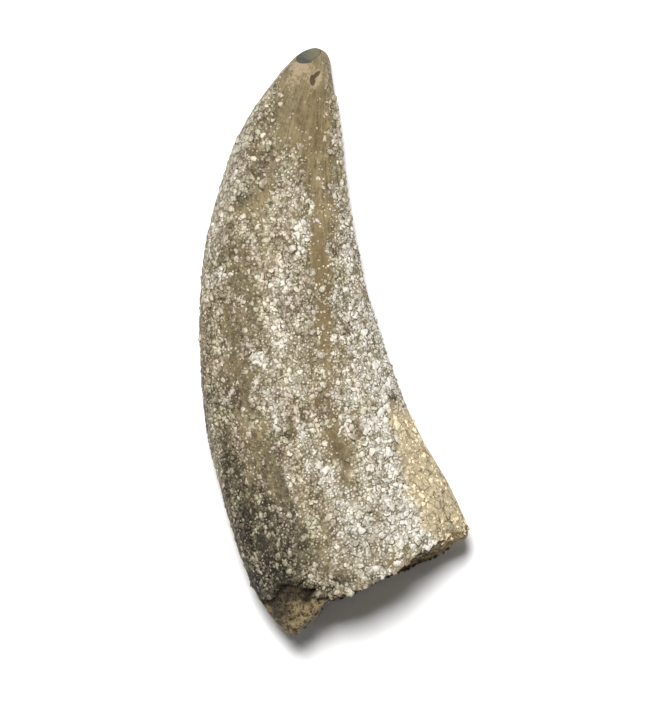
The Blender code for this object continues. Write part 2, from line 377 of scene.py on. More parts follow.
# Each place is (x, y, radius across, radius along, lean in degrees, strength). Lean turns the
# long way of the place from +Y towards -X.
BARE_PLACES = (
    (-1.70, 15.20, 1.80, 1.50, -10, 1.00),
    (-2.30, 13.20, 1.70, 1.70, -20, 1.00),
    (-1.10, 10.60, 0.95, 2.60, -2, 1.00),
    (-0.80, 7.60, 0.80, 2.60, 1, 0.82),
    (-0.85, 4.00, 0.45, 2.80, 6, 0.74),
    (-0.75, 0.90, 0.34, 2.40, 2, 0.68),
    (-0.10, 6.20, 0.40, 1.00, 4, 0.50),
    (-0.95, -3.75, 0.25, 0.38, 0, 1.00),
    (-0.50, -2.40, 0.30, 1.80, 6, 0.45),
    (0.35, -6.70, 0.55, 2.20, 16, 0.90),
    (-3.75, -7.80, 0.60, 2.00, 12, 0.75),
    (-4.90, -9.80, 0.50, 1.20, 14, 0.60),
    (-5.40, -5.00, 0.45, 1.60, 8, 0.50),
    (-4.60, 11.30, 0.45, 0.90, -12, 0.50),
    (-4.50, 8.30, 0.50, 1.20, -12, 0.80),
    (-5.60, 8.00, 0.45, 0.90, -20, 0.70),
    (-6.20, 5.00, 1.20, 1.00, 0, 0.40),
    (-5.20, 2.20, 0.45, 2.00, 0, 0.50),
    (-5.80, -2.20, 0.90, 2.20, 6, 0.50),
)
FULL_PLACES = (
    (-2.70, 0.00, 1.60, 9.00, 2, 1.00),
    (2.00, -3.60, 0.90, 6.50, 20, 1.00),
    (0.80, -10.40, 1.60, 4.60, 18, 1.00),
    (-3.10, 9.00, 0.60, 2.90, -4, 0.90),
    (-7.40, -0.40, 0.50, 6.00, 0, 0.80),
    (0.60, 2.20, 0.80, 3.00, 10, 1.00),
    # Painted light: full crust on the distal margin, which turns away from the light
    (3.00, -0.60, 0.60, 3.40, 18, 1.00),
    (0.50, 8.00, 0.30, 1.20, 5, 0.90),
    (4.10, -9.40, 1.10, 4.60, 26, 1.00),
)
PALE_PLACES = (
    (2.60, -2.00, 1.15, 5.40, 16, 0.90),
    (1.40, 4.20, 0.60, 3.40, 10, 0.70),
    (0.60, 7.90, 0.35, 0.90, 5, 0.90),
    (0.20, 2.10, 0.50, 1.60, 4, 0.80),
    (2.00, -12.00, 1.10, 1.60, 20, 0.80),
    (0.80, -11.40, 0.80, 1.00, 20, 0.70),
    (5.00, -12.00, 1.20, 1.20, 24, 0.80),
    (0.90, -3.60, 0.70, 1.80, 12, 0.70),
    # Painted light: paler crust on the distal margin, which turns away from the light
    (3.10, -0.80, 0.45, 3.00, 18, 0.90),
    (-2.16, 2.50, 0.90, 6.50, 2, 0.25),
    (-3.30, 1.00, 0.80, 3.20, 0, 0.45),
    (-0.45, -8.30, 0.45, 3.20, 20, 0.90),
    (-1.60, -6.90, 0.40, 2.00, 12, 0.80),
    (-3.20, 9.00, 0.50, 3.00, -4, 0.30),
    (-3.90, 12.30, 0.50, 0.90, -20, 0.60),
    (0.35, -4.20, 0.50, 1.80, 10, 0.60),
    (0.90, 2.60, 0.50, 1.20, 8, 0.80),
    (-2.00, -3.00, 0.50, 1.20, 8, 0.60),
    (-4.10, -2.90, 0.40, 0.50, 0, 0.80),
    (3.90, -7.20, 0.60, 1.00, 20, 0.90),
    (-0.80, 2.00, 0.60, 6.00, 4, 0.45),
    (1.30, -10.60, 0.70, 1.80, 20, 0.60),
    (1.40, -12.30, 2.40, 1.20, 22, 0.60),
    (0.50, -9.00, 0.40, 1.00, 20, 0.60),
    (2.50, -10.10, 0.60, 0.70, 0, 0.90),
    (-2.10, 6.75, 0.45, 0.55, 0, 0.90),
    (-2.25, 5.35, 0.50, 0.45, 0, 0.90),
    (-3.40, 3.45, 0.65, 0.40, 0, 0.70),
    (-6.90, 3.70, 0.75, 0.55, 0, 0.90),
    (-4.40, -1.35, 0.80, 0.50, -30, 1.00),
    (-4.90, -2.20, 0.50, 0.40, 0, 0.80),
    (-1.60, 3.90, 0.45, 0.35, 0, 0.60),
    (-2.70, 3.90, 0.40, 0.40, 0, 0.60),
    (-3.50, 2.55, 0.50, 0.40, 0, 0.50),
    (2.60, -5.80, 0.80, 1.60, 24, 0.90),
    (3.30, -9.60, 1.25, 3.40, 24, 1.00),
    (4.30, -9.20, 0.70, 4.00, 27, 0.90),
    (3.20, -13.50, 3.40, 0.50, 24, 1.00),
    (-5.60, 9.60, 0.45, 1.70, -20, 0.50),
    (-3.40, -4.60, 0.70, 0.90, 0, 0.50),
    (-2.60, -8.60, 0.50, 1.30, 14, 0.50),
    (-7.50, -5.50, 0.50, 3.50, 10, 0.40),
    (0.70, -10.40, 0.50, 0.80, 18, 0.50),
    (-0.70, -11.00, 0.60, 0.70, 18, 0.40),
    (2.30, -10.30, 0.60, 0.70, 18, 0.60),
    (0.40, -0.40, 0.40, 0.80, 8, 0.60),
    (-2.60, 5.50, 0.40, 0.60, 0, 0.60),
    (-4.00, -1.00, 0.40, 0.60, 0, 0.50),
)
# Partly black stains and partly painted shade: shade on the lower mesial side and the tip's mesial
# side, and shadow under the enamel ledge
DARK_PLACES = (
    (-4.50, 10.40, 0.50, 1.20, -16, 0.55),
    (-5.40, 8.60, 0.55, 0.90, -24, 0.70),
    # These three paint the shade of the lower mesial side, which turns away from the light, with
    # its black stains
    (-6.00, -8.20, 0.80, 3.40, 14, 0.72),
    (-4.80, -11.60, 1.35, 3.00, 18, 0.92),
    (-3.80, -14.40, 2.00, 1.90, 24, 0.97),
    (-3.75, -8.00, 0.70, 1.80, 12, 0.55),
    (-3.00, -11.60, 1.30, 2.80, 18, 0.70),
    (-6.20, -3.60, 1.30, 0.90, 0, 0.45),
    (-3.40, -5.20, 0.55, 2.10, 8, 0.40),
    (-7.70, -4.50, 0.30, 2.50, 8, 0.50),
    (2.50, -14.30, 0.60, 0.35, 24, 0.80),
    (-3.05, -9.00, 0.45, 1.40, 14, 0.50),
    (-4.50, -9.20, 0.55, 1.80, 14, 0.50),
    (-3.50, -5.80, 0.60, 0.80, 10, 0.45),
    (-0.35, 9.20, 0.50, 0.60, 0, 0.50),
    (-7.20, -3.00, 0.45, 0.90, 6, 0.40),
    (3.60, -10.20, 0.90, 1.00, 20, 0.20),
    (-0.10, -14.80, 0.50, 0.35, 20, 0.50),
    (6.30, -11.60, 1.30, 0.30, 20, 0.60),
    (-1.75, -5.10, 0.40, 0.70, 10, 0.50),
    (0.95, 0.40, 0.45, 0.80, 10, 0.35),
    (-0.05, 5.60, 0.35, 0.60, 0, 0.50),
    (1.10, 5.50, 0.30, 0.60, 0, 0.50),
    (-5.00, 11.50, 0.80, 2.20, -20, 0.25),
    (-6.80, 5.40, 1.30, 1.40, 0, 0.25),
    (-5.60, 0.50, 1.30, 7.00, 4, 0.36),
    # Painted shade on the tip's mesial side, which faces away from the light
    (-3.20, 13.80, 0.90, 2.40, -25, 0.36),
    (-1.40, -13.40, 1.20, 2.00, 20, 0.42),
    (0.60, -14.40, 1.30, 0.45, 24, 0.75),
    (0.35, -7.00, 0.45, 1.70, 16, 0.45),
    (-0.35, 16.20, 0.12, 0.80, 8, 0.15),
    # These three paint the shadow under the ledge of the enamel, at the top of the lobe
    (-2.05, -15.15, 1.25, 0.60, 14, 1.00),
    (-3.60, -16.00, 0.55, 1.40, 28, 0.90),
    (-1.95, -15.00, 0.95, 0.50, 10, 1.00),
    (-2.20, -16.40, 1.60, 1.40, 20, 0.35),
    (-2.45, -17.50, 0.30, 0.18, 0, 0.60),
    (2.25, 0.05, 0.20, 0.40, 18, 0.50),
    (3.45, -3.35, 0.26, 0.45, 24, 0.80),
)
GOLD_PLACES = (
    (-0.95, -3.75, 0.28, 0.42, 0, 1.00),
    (-0.40, -0.60, 0.45, 2.80, 4, 0.60),
    (-1.70, -4.60, 0.50, 1.40, 12, 0.40),
    (0.25, -6.20, 0.60, 2.20, 14, 0.45),
    (-1.50, 13.60, 1.40, 2.20, -12, 0.30),
    (-0.80, 3.40, 0.45, 3.60, 3, 0.90),
)
TAN_PLACES = (
    (6.35, -9.30, 1.60, 3.00, 28, 1.00),
    (4.70, -5.90, 0.75, 2.10, 28, 0.90),
    (7.00, -11.40, 1.20, 1.10, 28, 0.90),
)
CHIP_PLACES = (
    (-2.00, 16.40, 0.80, 0.40, 0, 0.85),
    (-1.20, 15.75, 0.50, 0.66, -10, 0.90),
    (-2.30, 15.70, 0.80, 0.60, 20, 0.45),
    (-4.40, 11.60, 0.30, 0.30, 0, 0.60),
)
PIT_PLACES = (
    (-1.36, 15.60, 0.17, 0.38, 5, 1.00),
    (-1.08, 15.92, 0.15, 0.30, -45, 1.00),
)
PLATE_PLACES = (
    (-3.60, 15.60, 0.24, 1.60, -42, 0.50),
    (-4.90, 13.60, 0.45, 1.60, -32, 1.00),
    (-5.80, 11.60, 0.55, 1.60, -25, 1.00),
    (-6.50, 9.20, 0.60, 1.80, -18, 1.00),
    (-6.90, 6.40, 0.50, 1.80, -12, 0.40),
    (-0.28, 15.60, 0.22, 1.30, 10, 0.65),
)
# Where the crust is only a dense dusting of fine grains
FLECK_PLACES = (
    (-0.10, -8.60, 1.50, 3.00, 20, 0.80),
    (0.80, -12.30, 2.60, 1.30, 22, 0.80),
    (-3.10, 9.00, 0.75, 3.00, -4, 0.90),
    (-1.30, 1.20, 0.80, 5.00, 4, 0.60),
)
# Drift of the places and patches of the crust: bumps per millimetre and seed of each noise, how
# far it shifts a point, and the share of the shift that the small marks near the tip take
WIDE_DRIFT = (0.9, 0.0)
WIDE_DRIFT_REACH = 0.45
FINE_DRIFT = (2.6, 7.0)
FINE_DRIFT_REACH = 0.22
TIP_DRIFT = 0.15
# Clusters and clouds of the crust, drawn out along the tooth: bumps per millimetre and seed
DRAWN_OUT = (1.0, 0.5, 1.0)
CLUSTERS = (0.95, 3.0)
CLOUDS = (0.45, 9.0)

# A pair below says where something starts and where it is full. Pairs for ACROSS are shares of the
# half width, counted from the middle towards the edge that the name gives. Pairs for UP are shares
# of the crown's height.
PLACE_EDGE = (0.45, 1.35)
CLUSTER_EDGE = (0.30, 0.62)
LEAST_CRUST = 0.45
TAN_CLEARS_CRUST = 0.75
CLEAN_TIP_UP = (0.925, 0.955)
CLEAN_UNDER_UP = (0.72, 0.90)
# Strips of crust along the two edges, how full they are, and how pale they make it
MESIAL_STRIP_ACROSS = (0.80, 0.96)
MESIAL_STRIP_UP = (0.55, 0.70)
MESIAL_STRIP_ENDS_UP = (0.83, 0.91)
MESIAL_STRIP_CRUST = 0.95
MESIAL_STRIP_PALE = 0.50
DISTAL_STRIP_ACROSS = (0.62, 0.92)
DISTAL_STRIP_UP = (0.50, 0.60)
DISTAL_STRIP_THINS_UP = (0.66, 0.76)
DISTAL_STRIP_THINNING = 0.50
DISTAL_STRIP_ENDS_UP = (0.88, 0.94)
DISTAL_STRIP_CRUST = 0.68
DISTAL_STRIP_PALE = 0.70
# The rim of the fracture: millimetres above the break, share of the bevel, and its mesial end
RIM_REACH = (0.15, 0.75)
RIM_BEVEL = (0.80, 0.90)
RIM_ENDS_ACROSS = (0.74, 0.88)
TAN_CLEARS_RIM = 0.55
# Clouds that pale the crust, and clouds that darken it where they are low
PALE_CLOUD = (0.55, 0.75)
PALE_CLOUD_SHARE = 0.35
DARK_CLOUD = (0.45, 0.25)
DARK_CLOUD_SHARE = 0.20
# Pale colour is at least this much where crust is thin
PALE_ON_THIN_CRUST = 0.50

# Where granules keep off the outline, so that it stays smooth: how much each kind is cleared
MESIAL_OUTLINE_ACROSS = (0.90, 0.97)
MESIAL_OUTLINE_CLEARS = 0.95
DISTAL_OUTLINE_ACROSS = (0.95, 0.99)
DISTAL_OUTLINE_CLEARS = 0.30
COARSE_DISTAL_ACROSS = (0.90, 0.97)
FINE_MESIAL_ACROSS = (0.92, 0.975)
FINE_MESIAL_CLEARS = 0.75
# Single specks on the enamel between the patches of crust
SPECK_COVER = 0.46
SPECK_THINNING = 0.14
SPECKS_THIN_UP = (0.55, 0.70)
SPECKS_UP = (0.20, 0.35)
SPECKS_END_UP = (0.82, 0.90)
# How densely each family of granules lies, by the field that it follows
COARSE_BY_CRUST = 0.02
COARSE_BY_PALE = 0.50
COARSE_BY_RIM = 0.80
MEDIUM_BY_CRUST = 0.95
MEDIUM_LESS = 0.12
MEDIUM_BY_SPECKS = 0.35
MEDIUM_BY_RIM = 0.60
FLECKS_CLEAR_MEDIUM = 0.90
PLATES_CLEAR = 0.90
UNDERSIDE_COVER = 0.40
# Height where the fine granules of the tip take over from those of the base
FINE_CHANGE_UP = (0.44, 0.46)

FIELDS = (
    "crust", "pale", "dark", "gold", "tan", "chip", "pit", "plate", "dentine", "facet",
    "cover_fine_tip", "cover_fine_base", "cover_fine_under", "cover_medium", "cover_coarse",
)


def spread(x, y, places):
    """Soft union of elliptical places at points seen from above, from 0 to 1."""
    clear = np.ones_like(x)
    for middle_x, middle_y, radius_x, radius_y, lean, strength in places:
        turn = math.radians(lean)
        dx, dy = x - middle_x, y - middle_y
        wide = (dx * math.cos(turn) + dy * math.sin(turn)) / radius_x
        long = (dy * math.cos(turn) - dx * math.sin(turn)) / radius_y
        clear *= 1 - strength * (1 - blend(*PLACE_EDGE, np.hypot(wide, long)))
    return 1 - clear


def places_on_crown(points, across, height, upper, cap):
    """Each point's place, as it is and as the drift shifts it, and how the crown lies there."""
    drift = wobble(points, *WIDE_DRIFT) * WIDE_DRIFT_REACH
    drift = drift + wobble(points, *FINE_DRIFT) * FINE_DRIFT_REACH
    return SimpleNamespace(
        points=points,
        x=points[:, 0] + drift[:, 0],
        y=points[:, 1] + drift[:, 1],
        near_x=points[:, 0] + TIP_DRIFT * drift[:, 0],
        near_y=points[:, 1] + TIP_DRIFT * drift[:, 1],
        across=across,
        height=height,
        share=height / TOP,
        upper=upper,
        below=1 - upper,
        cap=cap,
        lobe=lobe_share(height, across) * upper,
    )


def mesial_strip(at):
    """Strip along the mesial edge, below the tip."""
    strip = blend(*MESIAL_STRIP_ACROSS, -at.across) * blend(*MESIAL_STRIP_UP, at.share)
    return strip * (1 - blend(*MESIAL_STRIP_ENDS_UP, at.share))


def distal_strip(at):
    """Strip beside the distal edge, thinner where the denticles show."""
    strip = blend(*DISTAL_STRIP_ACROSS, at.across) * blend(*DISTAL_STRIP_UP, at.share)
    strip = strip * (1 - DISTAL_STRIP_THINNING * blend(*DISTAL_STRIP_THINS_UP, at.share))
    return strip * (1 - blend(*DISTAL_STRIP_ENDS_UP, at.share))


def crust_field(at, tan):
    """How much of the surface the crust covers."""
    clusters = blend(*CLUSTER_EDGE, patchiness(at.points * np.array(DRAWN_OUT), *CLUSTERS))
    bare = spread(at.x, at.y, BARE_PLACES) * at.upper
    bare = np.maximum(bare, at.below * blend(*CLEAN_UNDER_UP, at.share))
    full = spread(at.x, at.y, FULL_PLACES) * at.upper
    full = np.maximum(full, blend(*MESIAL_STRIP_ACROSS, -at.across) * at.upper)
    fullness = LEAST_CRUST + (1 - LEAST_CRUST) * np.maximum(clusters, full)
    crust = (1 - bare) * (1 - TAN_CLEARS_CRUST * tan) * fullness
    crust = np.maximum(crust, MESIAL_STRIP_CRUST * mesial_strip(at))
    crust = np.maximum(crust, DISTAL_STRIP_CRUST * distal_strip(at) * at.upper)
    crust *= (1 - at.lobe) * (1 - at.cap) * (1 - blend(*CLEAN_TIP_UP, at.share))
    return np.clip(crust, 0, 1)


def rim_field(at):
    """How near a point lies to the rim of the fracture, on the enamel and its bevel."""
    angle = np.degrees(np.arccos(np.clip(-at.across, -1, 1)))
    above_break = at.height - break_height(angle, at.below)
    bevel = at.cap * blend(*RIM_BEVEL, at.upper)
    rim = (1 - blend(*RIM_REACH, above_break)) * (1 - at.cap + bevel) * (1 - at.lobe)
    return rim * (1 - blend(*RIM_ENDS_ACROSS, -at.across))


def past_facet(points):
    """How far each point stands past the plane of the worn facet."""
    return (points - np.array(FACET_POINT)) @ FACET_OUT


def facet_field(at):
    """0.5 on the outline of the worn facet, 1 well inside it and 0 outside."""
    aside = at.near_x - FACET_POINT[0]
    lower_side = 1 - blend(*FACET_WEDGE_END, at.points[:, 1] - FACET_POINT[1])
    slope = np.where(aside > 0, FACET_WEDGE[1], FACET_WEDGE[0])
    beyond = past_facet(at.points) - slope * np.abs(aside) * lower_side
    return np.clip(0.5 + beyond / FACET_FADE, 0, 1)


def granule_fields(at, crust, pale, tan, plate):
    """How densely each family of granules lies."""
    rim = rim_field(at)
    outline = MESIAL_OUTLINE_CLEARS * blend(*MESIAL_OUTLINE_ACROSS, -at.across)
    outline = outline + DISTAL_OUTLINE_CLEARS * blend(*DISTAL_OUTLINE_ACROSS, at.across)
    off_outline = 1 - outline * (1 - rim)
    rim *= (1 - TAN_CLEARS_RIM * tan) * at.upper

    coarse = COARSE_BY_CRUST * crust + COARSE_BY_PALE * pale**2 + COARSE_BY_RIM * rim
    coarse = np.clip(coarse, 0, 1) * off_outline
    coarse *= 1 - blend(*COARSE_DISTAL_ACROSS, at.across)

    specks = SPECK_COVER - SPECK_THINNING * blend(*SPECKS_THIN_UP, at.share)
    specks = specks * blend(*SPECKS_UP, at.share) * (1 - blend(*SPECKS_END_UP, at.share))
    specks = specks * at.upper * (1 - at.lobe)

    medium = np.maximum(MEDIUM_BY_CRUST * crust - MEDIUM_LESS, MEDIUM_BY_SPECKS * specks)
    medium = np.maximum(medium, MEDIUM_BY_RIM * at.cap * rim)
    flecks = spread(at.x, at.y, FLECK_PLACES) * at.upper
    medium *= (1 - FLECKS_CLEAR_MEDIUM * flecks) * off_outline

    fine = np.maximum(crust, specks)
    fine = fine * (1 - FINE_MESIAL_CLEARS * blend(*FINE_MESIAL_ACROSS, -at.across))
    toward_tip = blend(*FINE_CHANGE_UP, at.share)
    bald = 1 - PLATES_CLEAR * plate
    by_side = UNDERSIDE_COVER + (1 - UNDERSIDE_COVER) * at.upper
    return {
        "cover_fine_tip": fine * bald * at.upper * toward_tip,
        "cover_fine_base": fine * bald * at.upper * (1 - toward_tip),
        "cover_fine_under": fine * at.below,
        "cover_medium": medium * bald * by_side,
        "cover_coarse": coarse * bald * by_side,
    }


def surface_fields(at):
    """Where each kind of surface lies, as one value per point for each name in FIELDS."""
    clouds = patchiness(at.points * np.array(DRAWN_OUT), *CLOUDS)
    tan = spread(at.x, at.y, TAN_PLACES)
    crust = crust_field(at, tan)
    plate = spread(at.x, at.y, PLATE_PLACES) * at.upper
    strips = np.maximum(MESIAL_STRIP_PALE * mesial_strip(at), DISTAL_STRIP_PALE * distal_strip(at))
    pale = np.maximum(spread(at.x, at.y, PALE_PLACES) * at.upper, strips)
    paled = np.clip(pale + PALE_CLOUD_SHARE * blend(*PALE_CLOUD, clouds), 0, 1)
    dark = spread(at.x, at.y, DARK_PLACES) * at.upper
    return {
        "crust": crust,
        "pale": paled * np.maximum(crust, PALE_ON_THIN_CRUST),
        "dark": np.maximum(dark, DARK_CLOUD_SHARE * blend(*DARK_CLOUD, clouds)),
        "gold": spread(at.x, at.y, GOLD_PLACES) * at.upper,
        "tan": tan,
        "chip": spread(at.near_x, at.near_y, CHIP_PLACES) * at.upper,
        "pit": spread(at.near_x, at.near_y, PIT_PLACES) * at.upper,
        "plate": plate,
        "dentine": np.maximum(at.lobe, at.cap),
        "facet": facet_field(at),
        **granule_fields(at, crust, pale, tan, plate),
    }


def worn_flat(points):
    """The points with the worn facet and the resting band flattened."""
    points = points - np.maximum(0, past_facet(points))[:, None] * FACET_OUT
    points[:, 2] = np.maximum(points[:, 2], 0)
    return points


def in_frame(points):
    """The points in metres, with the crown's outline over the middle of its solid."""
    side, _ = crown_grid()
    outline = worn_flat(side[0].reshape(-1, 3))[:, :2]
    low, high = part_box("tooth")
    middle = [(low[0] + high[0]) / 2, (low[1] + high[1]) / 2]
    own = (outline.min(0) + outline.max(0)) / 2
    moved = points * MM
    moved[:, :2] += middle - own * MM
    return moved


def on_labial_face(rows):
    """1 on the labial columns of the side, 0 on the lingual ones, with a step at each edge."""
    column = np.tile(np.arange(COLUMNS), rows)
    from_edge = np.minimum(column, COLUMNS / 2 - column) / (COLUMNS / 2)
    return blend(*FACE_CHANGE, from_edge)


def torn(points, height, across, upper, on_cap):
    """The points with the fracture and its rim made uneven."""
    above_break = height - break_height(np.degrees(np.arccos(-across)), 1 - upper)
    broken = 1 - blend(0.0, BREAK_FADE, above_break)
    broken = np.maximum(broken, CAP_ROUGHNESS * on_cap) * (height < FIRST_FULL_ROW + BREAK_FADE)
    shift = np.zeros_like(points)
    near = broken > 0
    shift[near] = wobble(points[near], BREAK_BUMPS) * BREAK_ROUGHNESS * broken[near, None]
    return points + shift


def crown_mesh():
    """Smooth crown as a closed mesh in metres, with one attribute for each field."""
    noise.seed_set(NOISE_SEED)
    (side, side_across, side_height), (cap, cap_across, cap_height, cap_depth) = crown_grid()
    tip = crown_points(np.array([TOP]), np.array([90.0]), np.array([0.0]))
    points = np.concatenate([side.reshape(-1, 3), tip[0], cap.reshape(-1, 3)])
    across = np.concatenate([side_across.ravel(), tip[1], cap_across.ravel()])
    height = np.concatenate([side_height.ravel(), tip[2], cap_height.ravel()])
    upper = np.concatenate([on_labial_face(side.shape[0]), [1], 1 - cap_depth.ravel()])
    on_cap = np.concatenate([np.zeros(side_across.size + 1), np.ones(cap_across.size)])
    fields = surface_fields(places_on_crown(points, across, height, upper, on_cap))
    points = worn_flat(torn(points, height, across, upper, on_cap))
    data = bpy.data.meshes.new("smooth_crown")
    data.from_pydata(in_frame(points).tolist(), [], crown_faces(side.shape[0]))
    for name in FIELDS:
        layer = data.attributes.new(name, "FLOAT", "POINT")
        layer.data.foreach_set("value", np.ascontiguousarray(fields[name], dtype=np.float32))
    lengthwise = np.stack([across * STREAK_WIDTH, height, upper], axis=-1)
    layer = data.attributes.new("lengthwise", "FLOAT_VECTOR", "POINT")
    layer.data.foreach_set("vector", lengthwise.astype(np.float32).ravel())
    return data


# ---------------------------------------------------------------- helpers for nodes and pieces


def linear(code):
    """Linear colour with alpha from an sRGB hex code."""
    values = [int(code[i : i + 2], 16) / 255 for i in (0, 2, 4)]
    return (*[v / 12.92 if v <= 0.04045 else ((v + 0.055) / 1.055) ** 2.4 for v in values], 1.0)


def add(tree, kind, inputs=None, **settings):
    """Adds a node, sets and links its inputs, and returns its first output that is in use."""
    node = tree.nodes.new(kind)
    for name, value in settings.items():
        setattr(node, name, value)
    for key, value in (inputs or {}).items():
        if isinstance(value, bpy.types.NodeSocket):
            tree.links.new(value, node.inputs[key])
        else:
            node.inputs[key].default_value = value
    used = [socket for socket in node.outputs if socket.enabled]
    return used[0] if used else None


def new_geometry_tree(name, inputs):
    """Geometry node group with a mesh in and out, and its named inputs."""
    tree = bpy.data.node_groups.new(name, "GeometryNodeTree")
    tree.interface.new_socket("Geometry", in_out="INPUT", socket_type="NodeSocketGeometry")
    for label, kind, value in inputs:
        socket = tree.interface.new_socket(label, in_out="INPUT", socket_type=kind)
        if value is not None:
            socket.default_value = value
    tree.interface.new_socket("Geometry", in_out="OUTPUT", socket_type="NodeSocketGeometry")
    given = tree.nodes.new("NodeGroupInput")
    return tree, given.outputs


def run_tree(name, mesh, tree, values):
    """Object made of the mesh that the tree gives, with its modifier inputs set by identifier."""
    source = bpy.data.objects.new(name + "_source", mesh)
    bpy.context.scene.collection.objects.link(source)
    modifier = source.modifiers.new("nodes", "NODES")
    modifier.node_group = tree
    for item in tree.interface.items_tree:
        if item.in_out == "INPUT" and item.name in values:
            modifier[item.identifier] = values[item.name]
    ready = source.evaluated_get(bpy.context.evaluated_depsgraph_get())
    made = bpy.data.meshes.new_from_object(ready)
    made.name = name
    bpy.data.objects.remove(source)
    if not made.polygons:
        raise RuntimeError(f"{name}: its node tree gave no faces")
    piece = bpy.data.objects.new(name, made)
    bpy.context.scene.collection.objects.link(piece)
    return piece


def hand_in(piece):
    """Puts a finished piece on the tooth's body and in place of its solid."""
    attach(piece, "root")
    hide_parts("tooth")


# ---------------------------------------------------------------- relief of the crown

# Patterns of the relief, in millimetres: how far the pebbles' outlines bend, and the marks per
# millimetre of those bends, of the grit on the pebbles, of the waves and of the torn dentine
PEBBLE_BEND = 0.25
PEBBLE_BENDS = 1.6
PEBBLE_GRIT = 1.4
WAVES = 0.5
TORN_LUMPS = 1.5


def relief_tree():
    """Lifts the crown's surface: pebbled crust, gentle waves, and a torn fracture."""
    tree, given = new_geometry_tree(
        "crust_relief",
        (
            ("Pebble size", "NodeSocketFloat", 0.4 * MM),
            ("Pebble lift", "NodeSocketFloat", 0.05 * MM),
            ("Wave lift", "NodeSocketFloat", 0.05 * MM),
            ("Fracture lift", "NodeSocketFloat", 0.12 * MM),
            ("Material", "NodeSocketMaterial", None),
        ),
    )
    place = add(tree, "GeometryNodeInputPosition")
    normal = add(tree, "GeometryNodeInputNormal")
    fields = {}
    for name in ("crust", "dentine", "facet"):
        fields[name] = add(
            tree, "GeometryNodeInputNamedAttribute", {"Name": name}, data_type="FLOAT"
        )
    pebbles_per_m = add(
        tree, "ShaderNodeMath", {0: 1.0, 1: given["Pebble size"]}, operation="DIVIDE"
    )
    bend = add(tree, "ShaderNodeTexNoise", {"Vector": place, "Scale": PEBBLE_BENDS / MM})
    bent = add(
        tree,
        "ShaderNodeVectorMath",
        {0: bend.node.outputs["Color"], 1: (PEBBLE_BEND * MM,) * 3, 2: place},
        operation="MULTIPLY_ADD",
    )
    cells = add(
        tree,
        "ShaderNodeTexVoronoi",
        {"Vector": bent, "Scale": pebbles_per_m, "Smoothness": 0.25},
        feature="SMOOTH_F1",
    )
    dome = add(tree, "ShaderNodeMapRange", {"Value": cells, 1: 0.1, 2: 0.7, 3: 1.0, 4: 0.0})
    grit = add(
        tree,
        "ShaderNodeTexNoise",
        {"Vector": place, "Scale": PEBBLE_GRIT / MM, "Detail": 2.0, "Roughness": 0.8},
    )
    dome = add(tree, "ShaderNodeMath", {0: grit, 1: 1.6, 2: dome}, operation="MULTIPLY_ADD")
    dome = add(tree, "ShaderNodeMath", {0: dome, 1: 0.8}, operation="SUBTRACT")
    wave = add(tree, "ShaderNodeTexNoise", {"Vector": place, "Scale": WAVES / MM, "Detail": 4.0})
    torn = add(
        tree,
        "ShaderNodeTexNoise",
        {"Vector": place, "Scale": TORN_LUMPS / MM, "Detail": 5.0, "Roughness": 0.65},
    )
    lifts = (
        (dome, fields["crust"], given["Pebble lift"]),
        (wave, 1.0, given["Wave lift"]),
        (torn, fields["dentine"], given["Fracture lift"]),
    )
    total = 0.0
    for shape, where, lift in lifts:
        centred = add(tree, "ShaderNodeMath", {0: shape, 1: 0.5}, operation="SUBTRACT")
        placed = add(tree, "ShaderNodeMath", {0: centred, 1: where}, operation="MULTIPLY")
        total = add(
            tree, "ShaderNodeMath", {0: placed, 1: lift, 2: total}, operation="MULTIPLY_ADD"
        )
    off_facet = add(
        tree, "ShaderNodeMapRange", {"Value": fields["facet"], 1: 0.3, 2: 0.5, 3: 1.0, 4: 0.0}
    )
    total = add(tree, "ShaderNodeMath", {0: total, 1: off_facet}, operation="MULTIPLY")
    move = add(tree, "ShaderNodeVectorMath", {0: normal, "Scale": total}, operation="SCALE")
    lifted = add(tree, "GeometryNodeSetPosition", {"Geometry": given["Geometry"], "Offset": move})
    above_floor = add(
        tree,
        "ShaderNodeVectorMath",
        {0: add(tree, "GeometryNodeInputPosition"), 1: (-1.0, -1.0, 0.0)},
        operation="MAXIMUM",
    )
    settled = add(
        tree, "GeometryNodeSetPosition", {"Geometry": lifted, "Position": above_floor}
    )
    smooth = add(tree, "GeometryNodeSetShadeSmooth", {"Geometry": settled})
    real = add(tree, "GeometryNodeRealizeInstances", {"Geometry": smooth})
    done = add(
        tree, "GeometryNodeSetMaterial", {"Geometry": real, "Material": given["Material"]}
    )
    add(tree, "NodeGroupOutput", {"Geometry": done})
    return tree


# ---------------------------------------------------------------- denticles of the distal edge


def edge_line():
    """The serrated part of the distal edge as a chain of mesh edges in metres."""
    far = DENTICLE_FROM + DENTICLE_PITCH * DENTICLE_COUNT
    heights = np.linspace(DENTICLE_FROM, far, EDGE_POINTS)
    points, _, _ = crown_points(heights, np.full(EDGE_POINTS, 180.0), np.zeros(EDGE_POINTS))
    links = [(i, i + 1) for i in range(EDGE_POINTS - 1)]
    data = bpy.data.meshes.new("serrated_edge")
    data.from_pydata(in_frame(points).tolist(), links, [])
    return data


